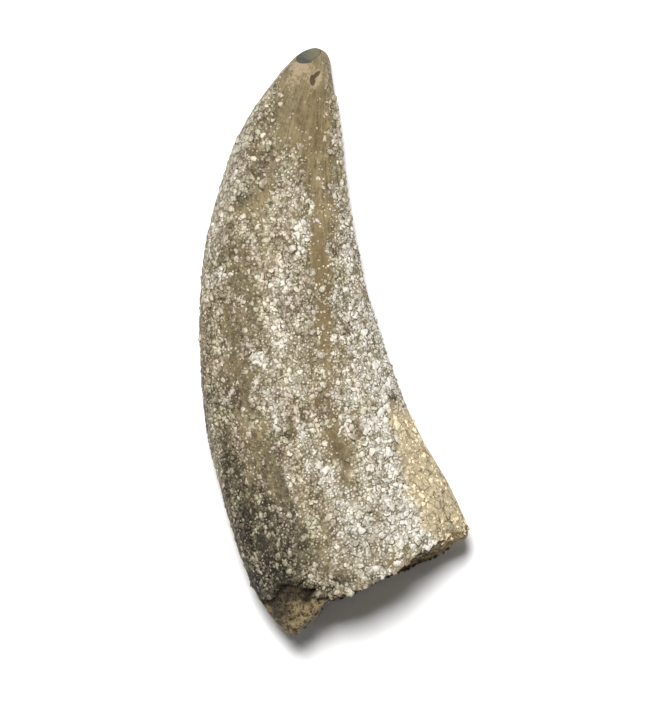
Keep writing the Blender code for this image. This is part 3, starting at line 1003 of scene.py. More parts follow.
def denticle_tree():
    """Sets rounded denticles along an edge at an even pitch, each a bead pressed into the edge."""
    tree, given = new_geometry_tree(
        "denticles",
        (
            ("Pitch", "NodeSocketFloat", DENTICLE_PITCH * MM),
            ("Reach", "NodeSocketFloat", 0.10 * MM),
            ("Half depth", "NodeSocketFloat", DENTICLE_HALF_DEPTH * MM),
            ("Half height", "NodeSocketFloat", DENTICLE_HALF_HEIGHT * MM),
            ("Material", "NodeSocketMaterial", None),
        ),
    )
    chain = add(tree, "GeometryNodeMeshToCurve", {"Mesh": given["Geometry"]})
    spaced = add(
        tree,
        "GeometryNodeResampleCurve",
        {"Curve": chain, "Length": given["Pitch"]},
        mode="LENGTH",
    )
    tangent = add(tree, "GeometryNodeInputTangent")
    facing = add(tree, "FunctionNodeAlignRotationToVector", {"Vector": tangent}, axis="Y")
    half_pitch = add(
        tree, "ShaderNodeMath", {0: given["Pitch"], 1: DENTICLE_FULLNESS}, operation="MULTIPLY"
    )
    size = add(
        tree,
        "ShaderNodeCombineXYZ",
        {0: given["Half depth"], 1: half_pitch, 2: given["Half height"]},
    )
    vary = add(
        tree,
        "FunctionNodeRandomValue",
        {0: (0.85, 0.85, 0.9), 1: (1.1, 1.1, 1.1), "Seed": 4},
        data_type="FLOAT_VECTOR",
    )
    scale = add(tree, "ShaderNodeVectorMath", {0: size, 1: vary}, operation="MULTIPLY")
    block = add(tree, "GeometryNodeMeshCube", {"Size": (2.0, 2.0, 2.0)})
    bead = add(tree, "GeometryNodeSubdivisionSurface", {0: block, "Level": 3, "Edge Crease": 0.0})
    # Level falls towards the ends of a bead, where the material paints shade in the gaps between
    # denticles
    place = add(tree, "GeometryNodeInputPosition")
    along = add(tree, "ShaderNodeSeparateXYZ", {0: place}).node.outputs["Y"]
    along = add(tree, "ShaderNodeMath", {0: along}, operation="ABSOLUTE")
    level = add(tree, "ShaderNodeMath", {0: 1.0, 1: along}, operation="SUBTRACT")
    marked = add(
        tree,
        "GeometryNodeStoreNamedAttribute",
        {"Geometry": bead, "Name": "level", "Value": level},
        data_type="FLOAT",
        domain="POINT",
    )
    placed = add(
        tree,
        "GeometryNodeInstanceOnPoints",
        {"Points": spaced, "Instance": marked, "Rotation": facing, "Scale": scale},
    )
    out = add(
        tree,
        "ShaderNodeMath",
        {0: given["Reach"], 1: given["Half depth"]},
        operation="DIVIDE",
    )
    inset = add(tree, "ShaderNodeMath", {0: out, 1: 1.0}, operation="SUBTRACT")
    inward = add(tree, "ShaderNodeCombineXYZ", {0: inset})
    seated = add(
        tree,
        "GeometryNodeTranslateInstances",
        {"Instances": placed, "Translation": inward, "Local Space": True},
    )
    tone = add(tree, "FunctionNodeRandomValue", {2: 0.1, 3: 0.4, "Seed": 6}, data_type="FLOAT")
    toned = add(
        tree,
        "GeometryNodeStoreNamedAttribute",
        {"Geometry": seated, "Name": "tone", "Value": tone},
        data_type="FLOAT",
        domain="INSTANCE",
    )
    real = add(tree, "GeometryNodeRealizeInstances", {"Geometry": toned})
    smooth = add(tree, "GeometryNodeSetShadeSmooth", {"Geometry": real})
    done = add(
        tree, "GeometryNodeSetMaterial", {"Geometry": smooth, "Material": given["Material"]}
    )
    add(tree, "NodeGroupOutput", {"Geometry": done})
    return tree


# ---------------------------------------------------------------- granules of the crust

# How deep a granule sits in the enamel, as a share of its half height
SUNK = 0.35
# Granules under the crown end this far above the floor, just inside its flat resting band
GRANULE_FLOOR = 0.01
# Dents per millimetre in the granules
DENTS = 4.5
# The two shapes that are scattered, each of a few dozen faces
ICO = ("GeometryNodeMeshIcoSphere", {"Radius": 1.0, "Subdivisions": 1})
ROUND = ("GeometryNodeMeshUVSphere", {"Radius": 1.0, "Segments": 7, "Rings": 4})
# Families of scattered granules: name, field, spacing, smallest and largest radius, flatness,
# unevenness, seed and shape. Lengths are in millimetres.
GRANULES = (
    ("fine_granules_tip", "cover_fine_tip", 0.17, 0.060, 0.120, 0.45, 0.02, 3, ICO),
    ("fine_granules_base", "cover_fine_base", 0.17, 0.060, 0.120, 0.45, 0.02, 5, ICO),
    ("fine_granules_under", "cover_fine_under", 0.24, 0.090, 0.150, 0.45, 0.03, 7, ICO),
    ("medium_granules", "cover_medium", 0.25, 0.110, 0.210, 0.40, 0.07, 11, ROUND),
    ("coarse_granules", "cover_coarse", 0.42, 0.200, 0.300, 0.42, 0.10, 13, ROUND),
)


def granule_tree(name, shape):
    """Scatters uneven flattened granules over the crown where a field says, pressed into it."""
    tree, given = new_geometry_tree(
        name,
        (
            ("Spacing", "NodeSocketFloat", 0.2 * MM),
            ("Smallest", "NodeSocketFloat", 0.1 * MM),
            ("Largest", "NodeSocketFloat", 0.2 * MM),
            ("Flatness", "NodeSocketFloat", 0.6),
            ("Unevenness", "NodeSocketFloat", 0.05 * MM),
            ("Field", "NodeSocketString", "cover_medium"),
            ("Seed", "NodeSocketInt", 1),
            ("Material", "NodeSocketMaterial", None),
        ),
    )
    cover = add(
        tree, "GeometryNodeInputNamedAttribute", {"Name": given["Field"]}, data_type="FLOAT"
    )
    # Three tries for each square of the spacing fill it as closely as the spacing allows
    sparse = add(tree, "ShaderNodeMath", {0: given["Spacing"], 1: -2.0}, operation="POWER")
    dense = add(tree, "ShaderNodeMath", {0: sparse, 1: 3.0}, operation="MULTIPLY")
    points = add(
        tree,
        "GeometryNodeDistributePointsOnFaces",
        {
            "Mesh": given["Geometry"],
            "Distance Min": given["Spacing"],
            "Density Max": dense,
            "Density Factor": cover,
            "Seed": given["Seed"],
        },
        distribute_method="POISSON",
    )
    spin = add(
        tree,
        "FunctionNodeRandomValue",
        {0: (-0.35, -0.35, 0.0), 1: (0.35, 0.35, 6.28), "Seed": given["Seed"]},
        data_type="FLOAT_VECTOR",
    )
    turned = points.node.outputs["Rotation"]
    spun = add(tree, "FunctionNodeRotateRotation", {0: turned, 1: spin}, rotation_space="LOCAL")
    size = add(
        tree,
        "FunctionNodeRandomValue",
        {2: given["Smallest"], 3: given["Largest"], "Seed": given["Seed"]},
        data_type="FLOAT",
    )
    stretch = add(
        tree,
        "FunctionNodeRandomValue",
        {0: (0.75, 0.8, 0.7), 1: (1.35, 1.2, 1.3), "Seed": given["Seed"]},
        data_type="FLOAT_VECTOR",
    )
    press = add(tree, "ShaderNodeCombineXYZ", {0: 1.0, 1: 1.0, 2: given["Flatness"]})
    form = add(tree, "ShaderNodeVectorMath", {0: stretch, 1: press}, operation="MULTIPLY")
    scale = add(tree, "ShaderNodeVectorMath", {0: form, "Scale": size}, operation="SCALE")
    kind, settings = shape
    grain = add(tree, kind, settings)
    # Level is the height within a granule; the material paints shade low on it, round its foot
    place = add(tree, "GeometryNodeInputPosition")
    level = add(tree, "ShaderNodeSeparateXYZ", {0: place}).node.outputs["Z"]
    marked = add(
        tree,
        "GeometryNodeStoreNamedAttribute",
        {"Geometry": grain, "Name": "level", "Value": level},
        data_type="FLOAT",
        domain="POINT",
    )
    sunk = add(
        tree, "GeometryNodeTransform", {"Geometry": marked, "Translation": (0.0, 0.0, -SUNK)}
    )
    placed = add(
        tree,
        "GeometryNodeInstanceOnPoints",
        {"Points": points, "Instance": sunk, "Rotation": spun, "Scale": scale},
    )
    tone = add(
        tree, "FunctionNodeRandomValue", {2: 0.0, 3: 1.0, "Seed": 11}, data_type="FLOAT"
    )
    toned = add(
        tree,
        "GeometryNodeStoreNamedAttribute",
        {"Geometry": placed, "Name": "tone", "Value": tone},
        data_type="FLOAT",
        domain="INSTANCE",
    )
    real = add(tree, "GeometryNodeRealizeInstances", {"Geometry": toned})
    dents = add(tree, "ShaderNodeTexNoise", {"Vector": place, "Scale": DENTS / MM, "Detail": 0.0})
    centred = add(
        tree,
        "ShaderNodeVectorMath",
        {0: dents.node.outputs["Color"], 1: (0.5, 0.5, 0.5)},
        operation="SUBTRACT",
    )
    amount = add(tree, "ShaderNodeMath", {0: given["Unevenness"], 1: 4.0}, operation="MULTIPLY")
    offset = add(tree, "ShaderNodeVectorMath", {0: centred, "Scale": amount}, operation="SCALE")
    uneven = add(tree, "GeometryNodeSetPosition", {"Geometry": real, "Offset": offset})
    smooth = add(tree, "GeometryNodeSetShadeSmooth", {"Geometry": uneven})
    above_floor = add(
        tree,
        "ShaderNodeVectorMath",
        {0: place, 1: (-1.0, -1.0, GRANULE_FLOOR * MM)},
        operation="MAXIMUM",
    )
    settled = add(
        tree, "GeometryNodeSetPosition", {"Geometry": smooth, "Position": above_floor}
    )
    done = add(
        tree, "GeometryNodeSetMaterial", {"Geometry": settled, "Material": given["Material"]}
    )
    add(tree, "NodeGroupOutput", {"Geometry": done})
    return tree


# ---------------------------------------------------------------- materials


def new_material(name):
    """Material with a Principled shader, its tree, and the place on the object in millimetres."""
    material = bpy.data.materials.new(name)
    material.use_nodes = True
    tree = material.node_tree
    shader = tree.nodes["Principled BSDF"]
    own = add(tree, "ShaderNodeTexCoord").node.outputs["Object"]
    place = add(tree, "ShaderNodeVectorMath", {0: own, "Scale": 1 / MM}, operation="SCALE")
    return material, tree, shader, place


# Patterns of the materials, as marks per millimetre. The finest real grit is a few hundredths of a
# millimetre, too fine to show, so the fine grit here is drawn from a quarter of a millimetre down.
ENAMEL_CLOUDS = 1.2
ENAMEL_STREAKS = (5.0, 0.6, 0.0)
SCRATCHES = 1.3
SCRATCH_GAPS = 2.3
CRUST_MOTTLE = 1.1
CRUST_TINTS = 0.8
FINE_GRIT = 4.0
OUTLINE_BENDS = 3.2
PLATES = 1.9
CRACKS = 1.5
CRACK_GAPS = 1.1
TORN_FIBRES = 3.4
# How far the cell outlines bend, in millimetres
BEND = (0.30, 0.30, 0.30)
# The crust's mottling is drawn out along the tooth
MOTTLE_DRAWN_OUT = (1.25, 0.65, 1.25)
# Low mounds of the crust: size, how much lighter the top is than the gap, and height of the top
CRUST_CELLS = ((0.42, 0.40, 0.05), (0.20, 0.35, 0.03))
# The crust between granules is a little darker than the granules
CRUST_TONE_DROP = 0.08
# How the worn facet shades: direction, where along it the shade starts and ends, and its mottle
FACET_SHADE_WAY = (0.75, 0.65, 0.0)
FACET_SHADE_FROM = 9.7
FACET_SHADE_TO = 10.7
FACET_MOTTLE = 0.6


def mottled_tone(tree, place):
    """Tone of the crust from 0 to 1: clusters of a millimetre down to grit of a tenth."""
    drawn_out = add(
        tree, "ShaderNodeVectorMath", {0: place, 1: MOTTLE_DRAWN_OUT}, operation="MULTIPLY"
    )
    grit = add(
        tree,
        "ShaderNodeTexNoise",
        {"Vector": drawn_out, "Scale": CRUST_MOTTLE, "Detail": 4.5, "Roughness": 0.95},
    )
    tone = add(tree, "ShaderNodeMapRange", {"Value": grit, 1: 0.30, 2: 0.70}, clamp=False)
    # The dark field, partly painted shade, lowers the tone
    for name, swing in (("pale", 0.32), ("dark", -0.30)):
        field = add(tree, "ShaderNodeAttribute", attribute_name=name)
        tone = add(
            tree, "ShaderNodeMath", {0: field, 1: swing, 2: tone}, operation="MULTIPLY_ADD"
        )
    return tone


def crust_colours(tree, place, tone, colours):
    """Colour of the crust from its tone, tinted yellowish here and pinkish there."""
    ramp = add(tree, "ShaderNodeValToRGB", {"Fac": tone})
    steps = (
        (0.0, colours.crust_dark),
        (0.33, colours.crust_brown),
        (0.66, colours.crust_cream),
        (1.0, colours.crust_white),
    )
    stops = ramp.node.color_ramp.elements
    stops[1].position = 1.0
    for position, _ in steps[1:-1]:
        stops.new(position)
    for stop, (_, colour) in zip(stops, steps):
        stop.color = colour
    tint = add(tree, "ShaderNodeTexNoise", {"Vector": place, "Scale": CRUST_TINTS, "Detail": 3.0})
    warm = add(tree, "ShaderNodeMapRange", {"Value": tint, 1: 0.40, 2: 0.60})
    tints = add(
        tree,
        "ShaderNodeMix",
        {0: warm, 6: colours.tint_yellow, 7: colours.tint_pink},
        data_type="RGBA",
    )
    pale = add(tree, "ShaderNodeAttribute", attribute_name="pale")
    tints = add(tree, "ShaderNodeMix", {0: pale, 6: tints, 7: colours.tint_cool}, data_type="RGBA")
    return add(
        tree,
        "ShaderNodeMix",
        {0: 1.0, 6: ramp, 7: tints},
        data_type="RGBA",
        blend_type="MULTIPLY",
    )


def stain_uptake(tree, tone):
    """How much of the dark stain and painted shade the crust takes up: most in its darker, lower
    parts.
    """
    return add(tree, "ShaderNodeMapRange", {"Value": tone, 1: -0.1, 2: 0.6, 3: 1.0, 4: 0.20})


def stained(tree, colour, colours, taken, stains):
    """The colour under the named stains of its place; the dark one is partly painted shade. Taken
    is the uptake of the dark one.
    """
    kinds = {
        "tan": (colours.tan_patch, 0.80, "MIX"),
        "gold": (colours.gold_streak, 0.70, "MIX"),
        # The dark stain is partly painted shade
        "dark": (colours.dark_stain_and_shade, 0.97, "MULTIPLY"),
    }
    for name in stains:
        stain, most, blend_type = kinds[name]
        field = add(tree, "ShaderNodeAttribute", attribute_name=name)
        share = add(tree, "ShaderNodeMath", {0: field, 1: most}, operation="MULTIPLY")
        if name == "dark":
            share = add(tree, "ShaderNodeMath", {0: share, 1: taken}, operation="MULTIPLY")
        colour = add(
            tree,
            "ShaderNodeMix",
            {0: share, 6: colour, 7: stain},
            data_type="RGBA",
            blend_type=blend_type,
        )
    return colour


def bare_enamel(tree, place, colours):
    """Brown enamel in soft clouds, with faint streaks along it and fine golden scratches."""
    clouds = add(
        tree,
        "ShaderNodeTexNoise",
        {"Vector": place, "Scale": ENAMEL_CLOUDS, "Detail": 5.0, "Roughness": 0.85},
    )
    clouds = add(tree, "ShaderNodeMapRange", {"Value": clouds, 1: 0.36, 2: 0.62})
    lengthwise = add(tree, "ShaderNodeAttribute", attribute_name="lengthwise")
    drawn_out = add(
        tree,
        "ShaderNodeVectorMath",
        {0: lengthwise.node.outputs["Vector"], 1: ENAMEL_STREAKS},
        operation="MULTIPLY",
    )
    streaks = add(tree, "ShaderNodeTexNoise", {"Vector": drawn_out, "Scale": 1.0, "Detail": 3.0})
    streaks = add(tree, "ShaderNodeMapRange", {"Value": streaks, 1: 0.42, 2: 0.70, 4: 0.55})
    colour = add(
        tree,
        "ShaderNodeMix",
        {0: clouds, 6: colours.enamel, 7: colours.enamel_deep},
        data_type="RGBA",
    )
    colour = add(
        tree,
        "ShaderNodeMix",
        {0: streaks, 6: colour, 7: colours.enamel_light},
        data_type="RGBA",
    )
    # A scratch is where a smooth noise crosses its middle value, kept only in some places
    winding = add(
        tree, "ShaderNodeTexNoise", {"Vector": place, "Scale": SCRATCHES, "Detail": 1.5}
    )
    off_line = add(tree, "ShaderNodeMath", {0: winding, 1: 0.5}, operation="SUBTRACT")
    off_line = add(tree, "ShaderNodeMath", {0: off_line}, operation="ABSOLUTE")
    line = add(tree, "ShaderNodeMapRange", {"Value": off_line, 1: 0.002, 2: 0.012, 3: 1.0, 4: 0.0})
    gate = add(tree, "ShaderNodeTexNoise", {"Vector": place, "Scale": SCRATCH_GAPS, "Detail": 1.0})
    gate = add(tree, "ShaderNodeMapRange", {"Value": gate, 1: 0.52, 2: 0.64})
    scratch = add(tree, "ShaderNodeMath", {0: line, 1: gate}, operation="MULTIPLY")
    return add(
        tree,
        "ShaderNodeMix",
        {0: scratch, 6: colour, 7: colours.scratch},
        data_type="RGBA",
    )


def fine_grit(tree, place):
    """Fine even grit, which breaks up outlines and roughens the surface."""
    return add(
        tree,
        "ShaderNodeTexNoise",
        {"Vector": place, "Scale": FINE_GRIT, "Detail": 3.0, "Roughness": 0.8},
    )


def crust_layer(tree, place, bent, fine, colours):
    """Crust, lighter on its mounds than between them: its colour, its tone and its height."""
    tone = add(
        tree,
        "ShaderNodeMath",
        {0: mottled_tone(tree, place), 1: CRUST_TONE_DROP},
        operation="SUBTRACT",
    )
    crusted = add(tree, "ShaderNodeAttribute", attribute_name="crust")
    height = add(tree, "ShaderNodeMath", {0: fine, 1: 0.10}, operation="MULTIPLY")
    for size, swing, lift in CRUST_CELLS:
        cell = add(tree, "ShaderNodeTexVoronoi", {"Vector": bent, "Scale": 1 / size})
        dome = add(tree, "ShaderNodeMapRange", {"Value": cell, 1: 0.1, 2: 0.7, 3: 0.5, 4: -0.5})
        tone = add(tree, "ShaderNodeMath", {0: dome, 1: swing, 2: tone}, operation="MULTIPLY_ADD")
        placed = add(tree, "ShaderNodeMath", {0: dome, 1: crusted}, operation="MULTIPLY")
        height = add(
            tree, "ShaderNodeMath", {0: placed, 1: lift, 2: height}, operation="MULTIPLY_ADD"
        )
    return crust_colours(tree, place, tone, colours), tone, height


def under_plates(tree, colour, bent, fine, colours):
    """The colour under flat plates of crust with dark joints, by the mesial edge near the tip."""
    joint = add(
        tree,
        "ShaderNodeTexVoronoi",
        {"Vector": bent, "Scale": PLATES},
        feature="DISTANCE_TO_EDGE",
    )
    joint = add(tree, "ShaderNodeMapRange", {"Value": joint, 1: 0.02, 2: 0.14})
    plates = add(
        tree,
        "ShaderNodeMix",
        {0: joint, 6: colours.gap, 7: colours.plate},
        data_type="RGBA",
    )
    plated = add(tree, "ShaderNodeAttribute", attribute_name="plate")
    worn = add(tree, "ShaderNodeMapRange", {"Value": fine, 1: 0.30, 2: 0.60, 3: 0.0, 4: 0.75})
    share = add(tree, "ShaderNodeMath", {0: plated, 1: worn}, operation="MULTIPLY")
    return add(tree, "ShaderNodeMix", {0: share, 6: colour, 7: plates}, data_type="RGBA")


def under_cracks(tree, colour, place, bent, fine, fields, colours):
    """The colour under fine cracks of the pale and tan crust, and dark specks of the tan one."""
    cracks = add(
        tree,
        "ShaderNodeTexVoronoi",
        {"Vector": bent, "Scale": CRACKS},
        feature="DISTANCE_TO_EDGE",
    )
    cracks = add(tree, "ShaderNodeMapRange", {"Value": cracks, 1: 0.0, 2: 0.09, 3: 1.0, 4: 0.0})
    gate = add(tree, "ShaderNodeTexNoise", {"Vector": place, "Scale": CRACK_GAPS, "Detail": 2.0})
    gate = add(tree, "ShaderNodeMapRange", {"Value": gate, 1: 0.40, 2: 0.54})
    cracked = add(tree, "ShaderNodeMath", {0: cracks, 1: gate}, operation="MULTIPLY")
    massive = add(
        tree, "ShaderNodeMath", {0: fields["tan"], 1: fields["pale"]}, operation="MAXIMUM"
    )
    cracked = add(tree, "ShaderNodeMath", {0: cracked, 1: massive}, operation="MULTIPLY")
    specks = add(tree, "ShaderNodeMapRange", {"Value": fine, 1: 0.38, 2: 0.54, 3: 0.7, 4: 0.0})
    specks = add(tree, "ShaderNodeMath", {0: specks, 1: fields["tan"]}, operation="MULTIPLY")
    cracked = add(tree, "ShaderNodeMath", {0: cracked, 1: specks}, operation="MAXIMUM")
    return add(tree, "ShaderNodeMix", {0: cracked, 6: colour, 7: colours.crack}, data_type="RGBA")


def torn_dentine(tree, torn, fields, colours):
    """Colour of the torn dentine, with painted shadow under the ledge of the enamel and dark
    stains.
    """
    raised = add(tree, "ShaderNodeMapRange", {"Value": torn, 1: 0.43, 2: 0.57})
    between = add(tree, "ShaderNodeMapRange", {"Value": raised, 3: 1.0, 4: 0.86})
    # Where the dark field lies on the dentine: painted shadow under the enamel ledge, and dark
    # stains elsewhere
    shadow_and_stain_share = add(tree, "ShaderNodeMath", {0: fields["dark"], 1: between}, operation="MULTIPLY")
    bone = add(
        tree,
        "ShaderNodeMix",
        {0: raised, 6: colours.dentine_deep, 7: colours.dentine},
        data_type="RGBA",
    )
    return add(
        tree, "ShaderNodeMix", {0: shadow_and_stain_share, 6: bone, 7: colours.ledge_shadow_and_stain}, data_type="RGBA"
    )


def worn_facet(tree, bent, ragged, colours):
    """The worn facet shades from olive at its distal end to blue-grey at its mesial one."""
    toward_distal = add(
        tree, "ShaderNodeVectorMath", {0: bent, 1: FACET_SHADE_WAY}, operation="DOT_PRODUCT"
    )
    toward_distal = add(
        tree,
        "ShaderNodeMath",
        {0: ragged, 1: FACET_MOTTLE, 2: toward_distal.node.outputs["Value"]},
        operation="MULTIPLY_ADD",
    )
    shade_at = add(
        tree,
        "ShaderNodeMapRange",
        {"Value": toward_distal, 1: FACET_SHADE_FROM, 2: FACET_SHADE_TO},
    )
    return add(
        tree,
        "ShaderNodeMix",
        {0: shade_at, 6: colours.facet_mesial, 7: colours.facet_distal},
        data_type="RGBA",
    )


def under_tip_marks(tree, colour, bent, ragged, fields, colours):
    """The colour under the chips, the pit and the worn facet of the tip."""
    # Each mark: its field, where it starts and is full, its most, how ragged its outline is, and
    # its colour
    marks = (
        ("chip", 0.30, 0.75, 0.70, 0.80, colours.chip),
        ("pit", 0.35, 0.65, 0.90, 0.20, colours.gap),
        ("facet", 0.42, 0.48, 1.0, 0.05, colours.gap),
        ("facet", 0.54, 0.74, 1.0, 0.10, worn_facet(tree, bent, ragged, colours)),
    )
    for name, low, high, most, uneven, shade in marks:
        outline = add(
            tree,
            "ShaderNodeMath",
            {0: ragged, 1: uneven, 2: fields[name]},
            operation="MULTIPLY_ADD",
        )
        share = add(tree, "ShaderNodeMapRange", {"Value": outline, 1: low, 2: high, 4: most})
        colour = add(tree, "ShaderNodeMix", {0: share, 6: colour, 7: shade}, data_type="RGBA")
    return colour


def fossil_enamel(colours):
    """Permineralised enamel, satin brown, with its matt crust, its stains and the torn dentine."""
    material, tree, shader, place = new_material("fossil_enamel_under_crust")
    shader.inputs["IOR"].default_value = 1.60
    # Most of the surface is dull with dirt, so it mirrors less than clean enamel
    shader.inputs["Specular IOR Level"].default_value = 0.15
    fields = {}
    for name in ("crust", "pale", "tan", "dark", "chip", "pit", "dentine", "facet"):
        fields[name] = add(tree, "ShaderNodeAttribute", attribute_name=name)
    bends = add(
        tree, "ShaderNodeTexNoise", {"Vector": place, "Scale": OUTLINE_BENDS, "Detail": 2.0}
    )
    bent = add(
        tree,
        "ShaderNodeVectorMath",
        {0: bends.node.outputs["Color"], 1: BEND, 2: place},
        operation="MULTIPLY_ADD",
    )
    fine = fine_grit(tree, place)
    ragged = add(tree, "ShaderNodeMapRange", {"Value": fine, 1: 0.35, 2: 0.65, 3: -0.5, 4: 0.5})
    torn = add(
        tree,
        "ShaderNodeTexNoise",
        {"Vector": place, "Scale": TORN_FIBRES, "Detail": 4.0, "Roughness": 0.95},
    )

    colour = bare_enamel(tree, place, colours)
    crust, tone, height = crust_layer(tree, place, bent, fine, colours)
    covered = add(tree, "ShaderNodeMath", {0: fields["crust"], 1: ragged}, operation="ADD")
    covered = add(tree, "ShaderNodeMapRange", {"Value": covered, 1: 0.42, 2: 0.70})
    colour = add(tree, "ShaderNodeMix", {0: covered, 6: colour, 7: crust}, data_type="RGBA")
    colour = under_plates(tree, colour, bent, fine, colours)
    taken = stain_uptake(tree, tone)
    colour = stained(tree, colour, colours, taken, ("tan", "gold"))
    colour = under_cracks(tree, colour, place, bent, fine, fields, colours)
    colour = stained(tree, colour, colours, taken, ("dark",))
    bone = torn_dentine(tree, torn, fields, colours)
    colour = add(
        tree, "ShaderNodeMix", {0: fields["dentine"], 6: colour, 7: bone}, data_type="RGBA"
    )
    colour = under_tip_marks(tree, colour, bent, ragged, fields, colours)
    tree.links.new(colour, shader.inputs["Base Color"])

    # Worn enamel is satin, the crust matt, and the dentine and the sandy matrix duller still
    rough = add(tree, "ShaderNodeMapRange", {"Value": fields["crust"], 3: 0.42, 4: 0.65})
    dull = add(
        tree, "ShaderNodeMath", {0: fields["dentine"], 1: fields["tan"]}, operation="MAXIMUM"
    )
    rough = add(tree, "ShaderNodeMath", {0: dull, 1: 0.25, 2: rough}, operation="MULTIPLY_ADD")
    tree.links.new(rough, shader.inputs["Roughness"])
    grit = add(tree, "ShaderNodeMath", {0: torn, 1: dull}, operation="MULTIPLY")
    height = add(tree, "ShaderNodeMath", {0: grit, 1: 0.30, 2: height}, operation="MULTIPLY_ADD")
    bump = add(tree, "ShaderNodeBump", {"Height": height, "Distance": 1.0 * MM})
    tree.links.new(bump, shader.inputs["Normal"])
    return material


def mineral_granules(colours):
    """Calcite and silica granules grown on the enamel: matt cream to bone white, with painted brown
    shade at their feet and between denticles.
    """
    material, tree, shader, place = new_material("mineral_granules")
    shader.inputs["IOR"].default_value = 1.55
    shader.inputs["Roughness"].default_value = 0.60
    shader.inputs["Specular IOR Level"].default_value = 0.15
    own = add(tree, "ShaderNodeAttribute", attribute_name="tone")
    own = add(tree, "ShaderNodeMapRange", {"Value": own, 3: -0.06, 4: 0.34})
    tone = add(
        tree, "ShaderNodeMath", {0: mottled_tone(tree, place), 1: own}, operation="ADD"
    )
    colour = crust_colours(tree, place, tone, colours)
    # Painted shade: low on each granule and at the ends of each denticle the colour darkens to the
    # crevice shade
    level = add(tree, "ShaderNodeAttribute", attribute_name="level")
    unshaded_share = add(tree, "ShaderNodeMapRange", {"Value": level, 1: 0.12, 2: 0.50})
    colour = add(
        tree,
        "ShaderNodeMix",
        {0: unshaded_share, 6: colours.painted_crevice_shade, 7: colour},
        data_type="RGBA",
    )
    taken = stain_uptake(tree, tone)
    colour = stained(tree, colour, colours, taken, ("tan", "dark"))
    tree.links.new(colour, shader.inputs["Base Color"])
    bump = add(
        tree, "ShaderNodeBump", {"Height": fine_grit(tree, place), "Distance": 0.10 * MM}
    )
    tree.links.new(bump, shader.inputs["Normal"])
    return material


def plain_card(colours):
    """Matt white card: an even, pale, unglazed sheet."""
    material = bpy.data.materials.new("plain_card")
    material.use_nodes = True
    shader = material.node_tree.nodes["Principled BSDF"]
    shader.inputs["Base Color"].default_value = colours.card
    shader.inputs["Roughness"].default_value = 0.9
    shader.inputs["Specular IOR Level"].default_value = 0.2
    return material


# ---------------------------------------------------------------- settings a user would change

# In millimetres: where the main light stands, what the camera stands over, the height at which it
# sees the frame width, and the width of its sensor
KEY_PLACE = (-25.0, 89.0, 280.0)
AIM = (-0.09, -0.60)
FRAMED_HEIGHT = 3.0
SENSOR_WIDTH = 36.0


def colour_setting(name, code, about):
    """Colour property with its default from an sRGB hex code."""
    return bpy.props.FloatVectorProperty(
        name=name, description=about, subtype="COLOR", size=4, min=0, max=1, default=linear(code)
    )


def length_setting(name, millimetres, about):
    """Length property with its default in millimetres."""
    return bpy.props.FloatProperty(
        name=name, description=about, subtype="DISTANCE", unit="LENGTH", default=millimetres * MM
    )


class ToothColours(bpy.types.PropertyGroup):
    """Colours of the enamel, the crust, its stains and the card."""

    enamel: colour_setting("Enamel", "867655", "Worn enamel")
    enamel_deep: colour_setting("Deep enamel", "5A4D34", "Darker clouds in the enamel")
    enamel_light: colour_setting("Light enamel", "9E906D", "Pale streaks along the enamel")
    scratch: colour_setting("Scratch", "B5A274", "Fine golden scratches in the enamel")
    gap: colour_setting("Gap", "453826", "Joints between plates of crust, and the pit")
    # Painted shade low on the granules and in the gaps between denticles
    painted_crevice_shade: colour_setting("Crevice", "6B6049", "Painted shade round the foot of a granule and between denticles")
    crust_dark: colour_setting("Dark crust", "564C3A", "Darkest parts of the crust")
    crust_brown: colour_setting("Brown crust", "7F7662", "Stained parts of the crust")
    crust_cream: colour_setting("Cream crust", "ACA697", "Common parts of the crust")
    crust_white: colour_setting("White crust", "DAD6CD", "Cleanest parts of the crust")
    tint_yellow: colour_setting("Yellow tint", "FEFBEA", "Tint of some of the crust")
    tint_pink: colour_setting("Pink tint", "FFF4EE", "Tint of the rest of the crust")
    tint_cool: colour_setting("Cool tint", "FDFDFC", "Tint of the palest crust")
    plate: colour_setting("Plate", "D0CBBA", "Flat plates of crust by the mesial edge")
    tan_patch: colour_setting("Tan patch", "F8E5BD", "Sandy matrix near the base")
    gold_streak: colour_setting("Gold streak", "6A5736", "Iron stained streaks")
    # Black manganese stains, and painted shade on the lower mesial side and by the tip
    dark_stain_and_shade: colour_setting("Dark stain and shade", "56647A", "Black manganese stains and painted shade")
    crack: colour_setting("Crack", "5E4D33", "Fine cracks in the sandy matrix")
    dentine: colour_setting("Dentine", "D0B88B", "Torn dentine, raised parts")
    dentine_deep: colour_setting("Deep dentine", "483720", "Torn dentine, hollows")
    # Painted shadow under the ledge of the enamel, and dark stains on the dentine
    ledge_shadow_and_stain: colour_setting("Ledge shadow and stain", "241B11", "Painted shadow under the enamel ledge, and dark stains on the dentine")
    facet_distal: colour_setting("Distal facet", "656044", "Distal end of the worn facet")
    facet_mesial: colour_setting("Mesial facet", "303635", "Mesial end of the worn facet")
    chip: colour_setting("Chip", "A39276", "Chipped enamel round the pit")
    card: colour_setting("Card", "FCFCFC", "Sheet that the tooth lies on")


class ToothSizes(bpy.types.PropertyGroup):
    """Sizes of the relief and the denticles."""

    pebble_size: length_setting("Pebble size", 0.42, "Width of the crust's low mounds")
    pebble_lift: length_setting("Pebble lift", 0.07, "Height of the crust's low mounds")
    wave_lift: length_setting("Wave lift", 0.14, "Height of the gentle waves of the enamel")
    fracture_lift: length_setting("Fracture lift", 0.35, "Roughness of the torn dentine")
    denticle_pitch: length_setting("Denticle pitch", DENTICLE_PITCH, "Spacing of the denticles")
    denticle_reach: length_setting("Denticle reach", 0.17, "How far a denticle stands out")


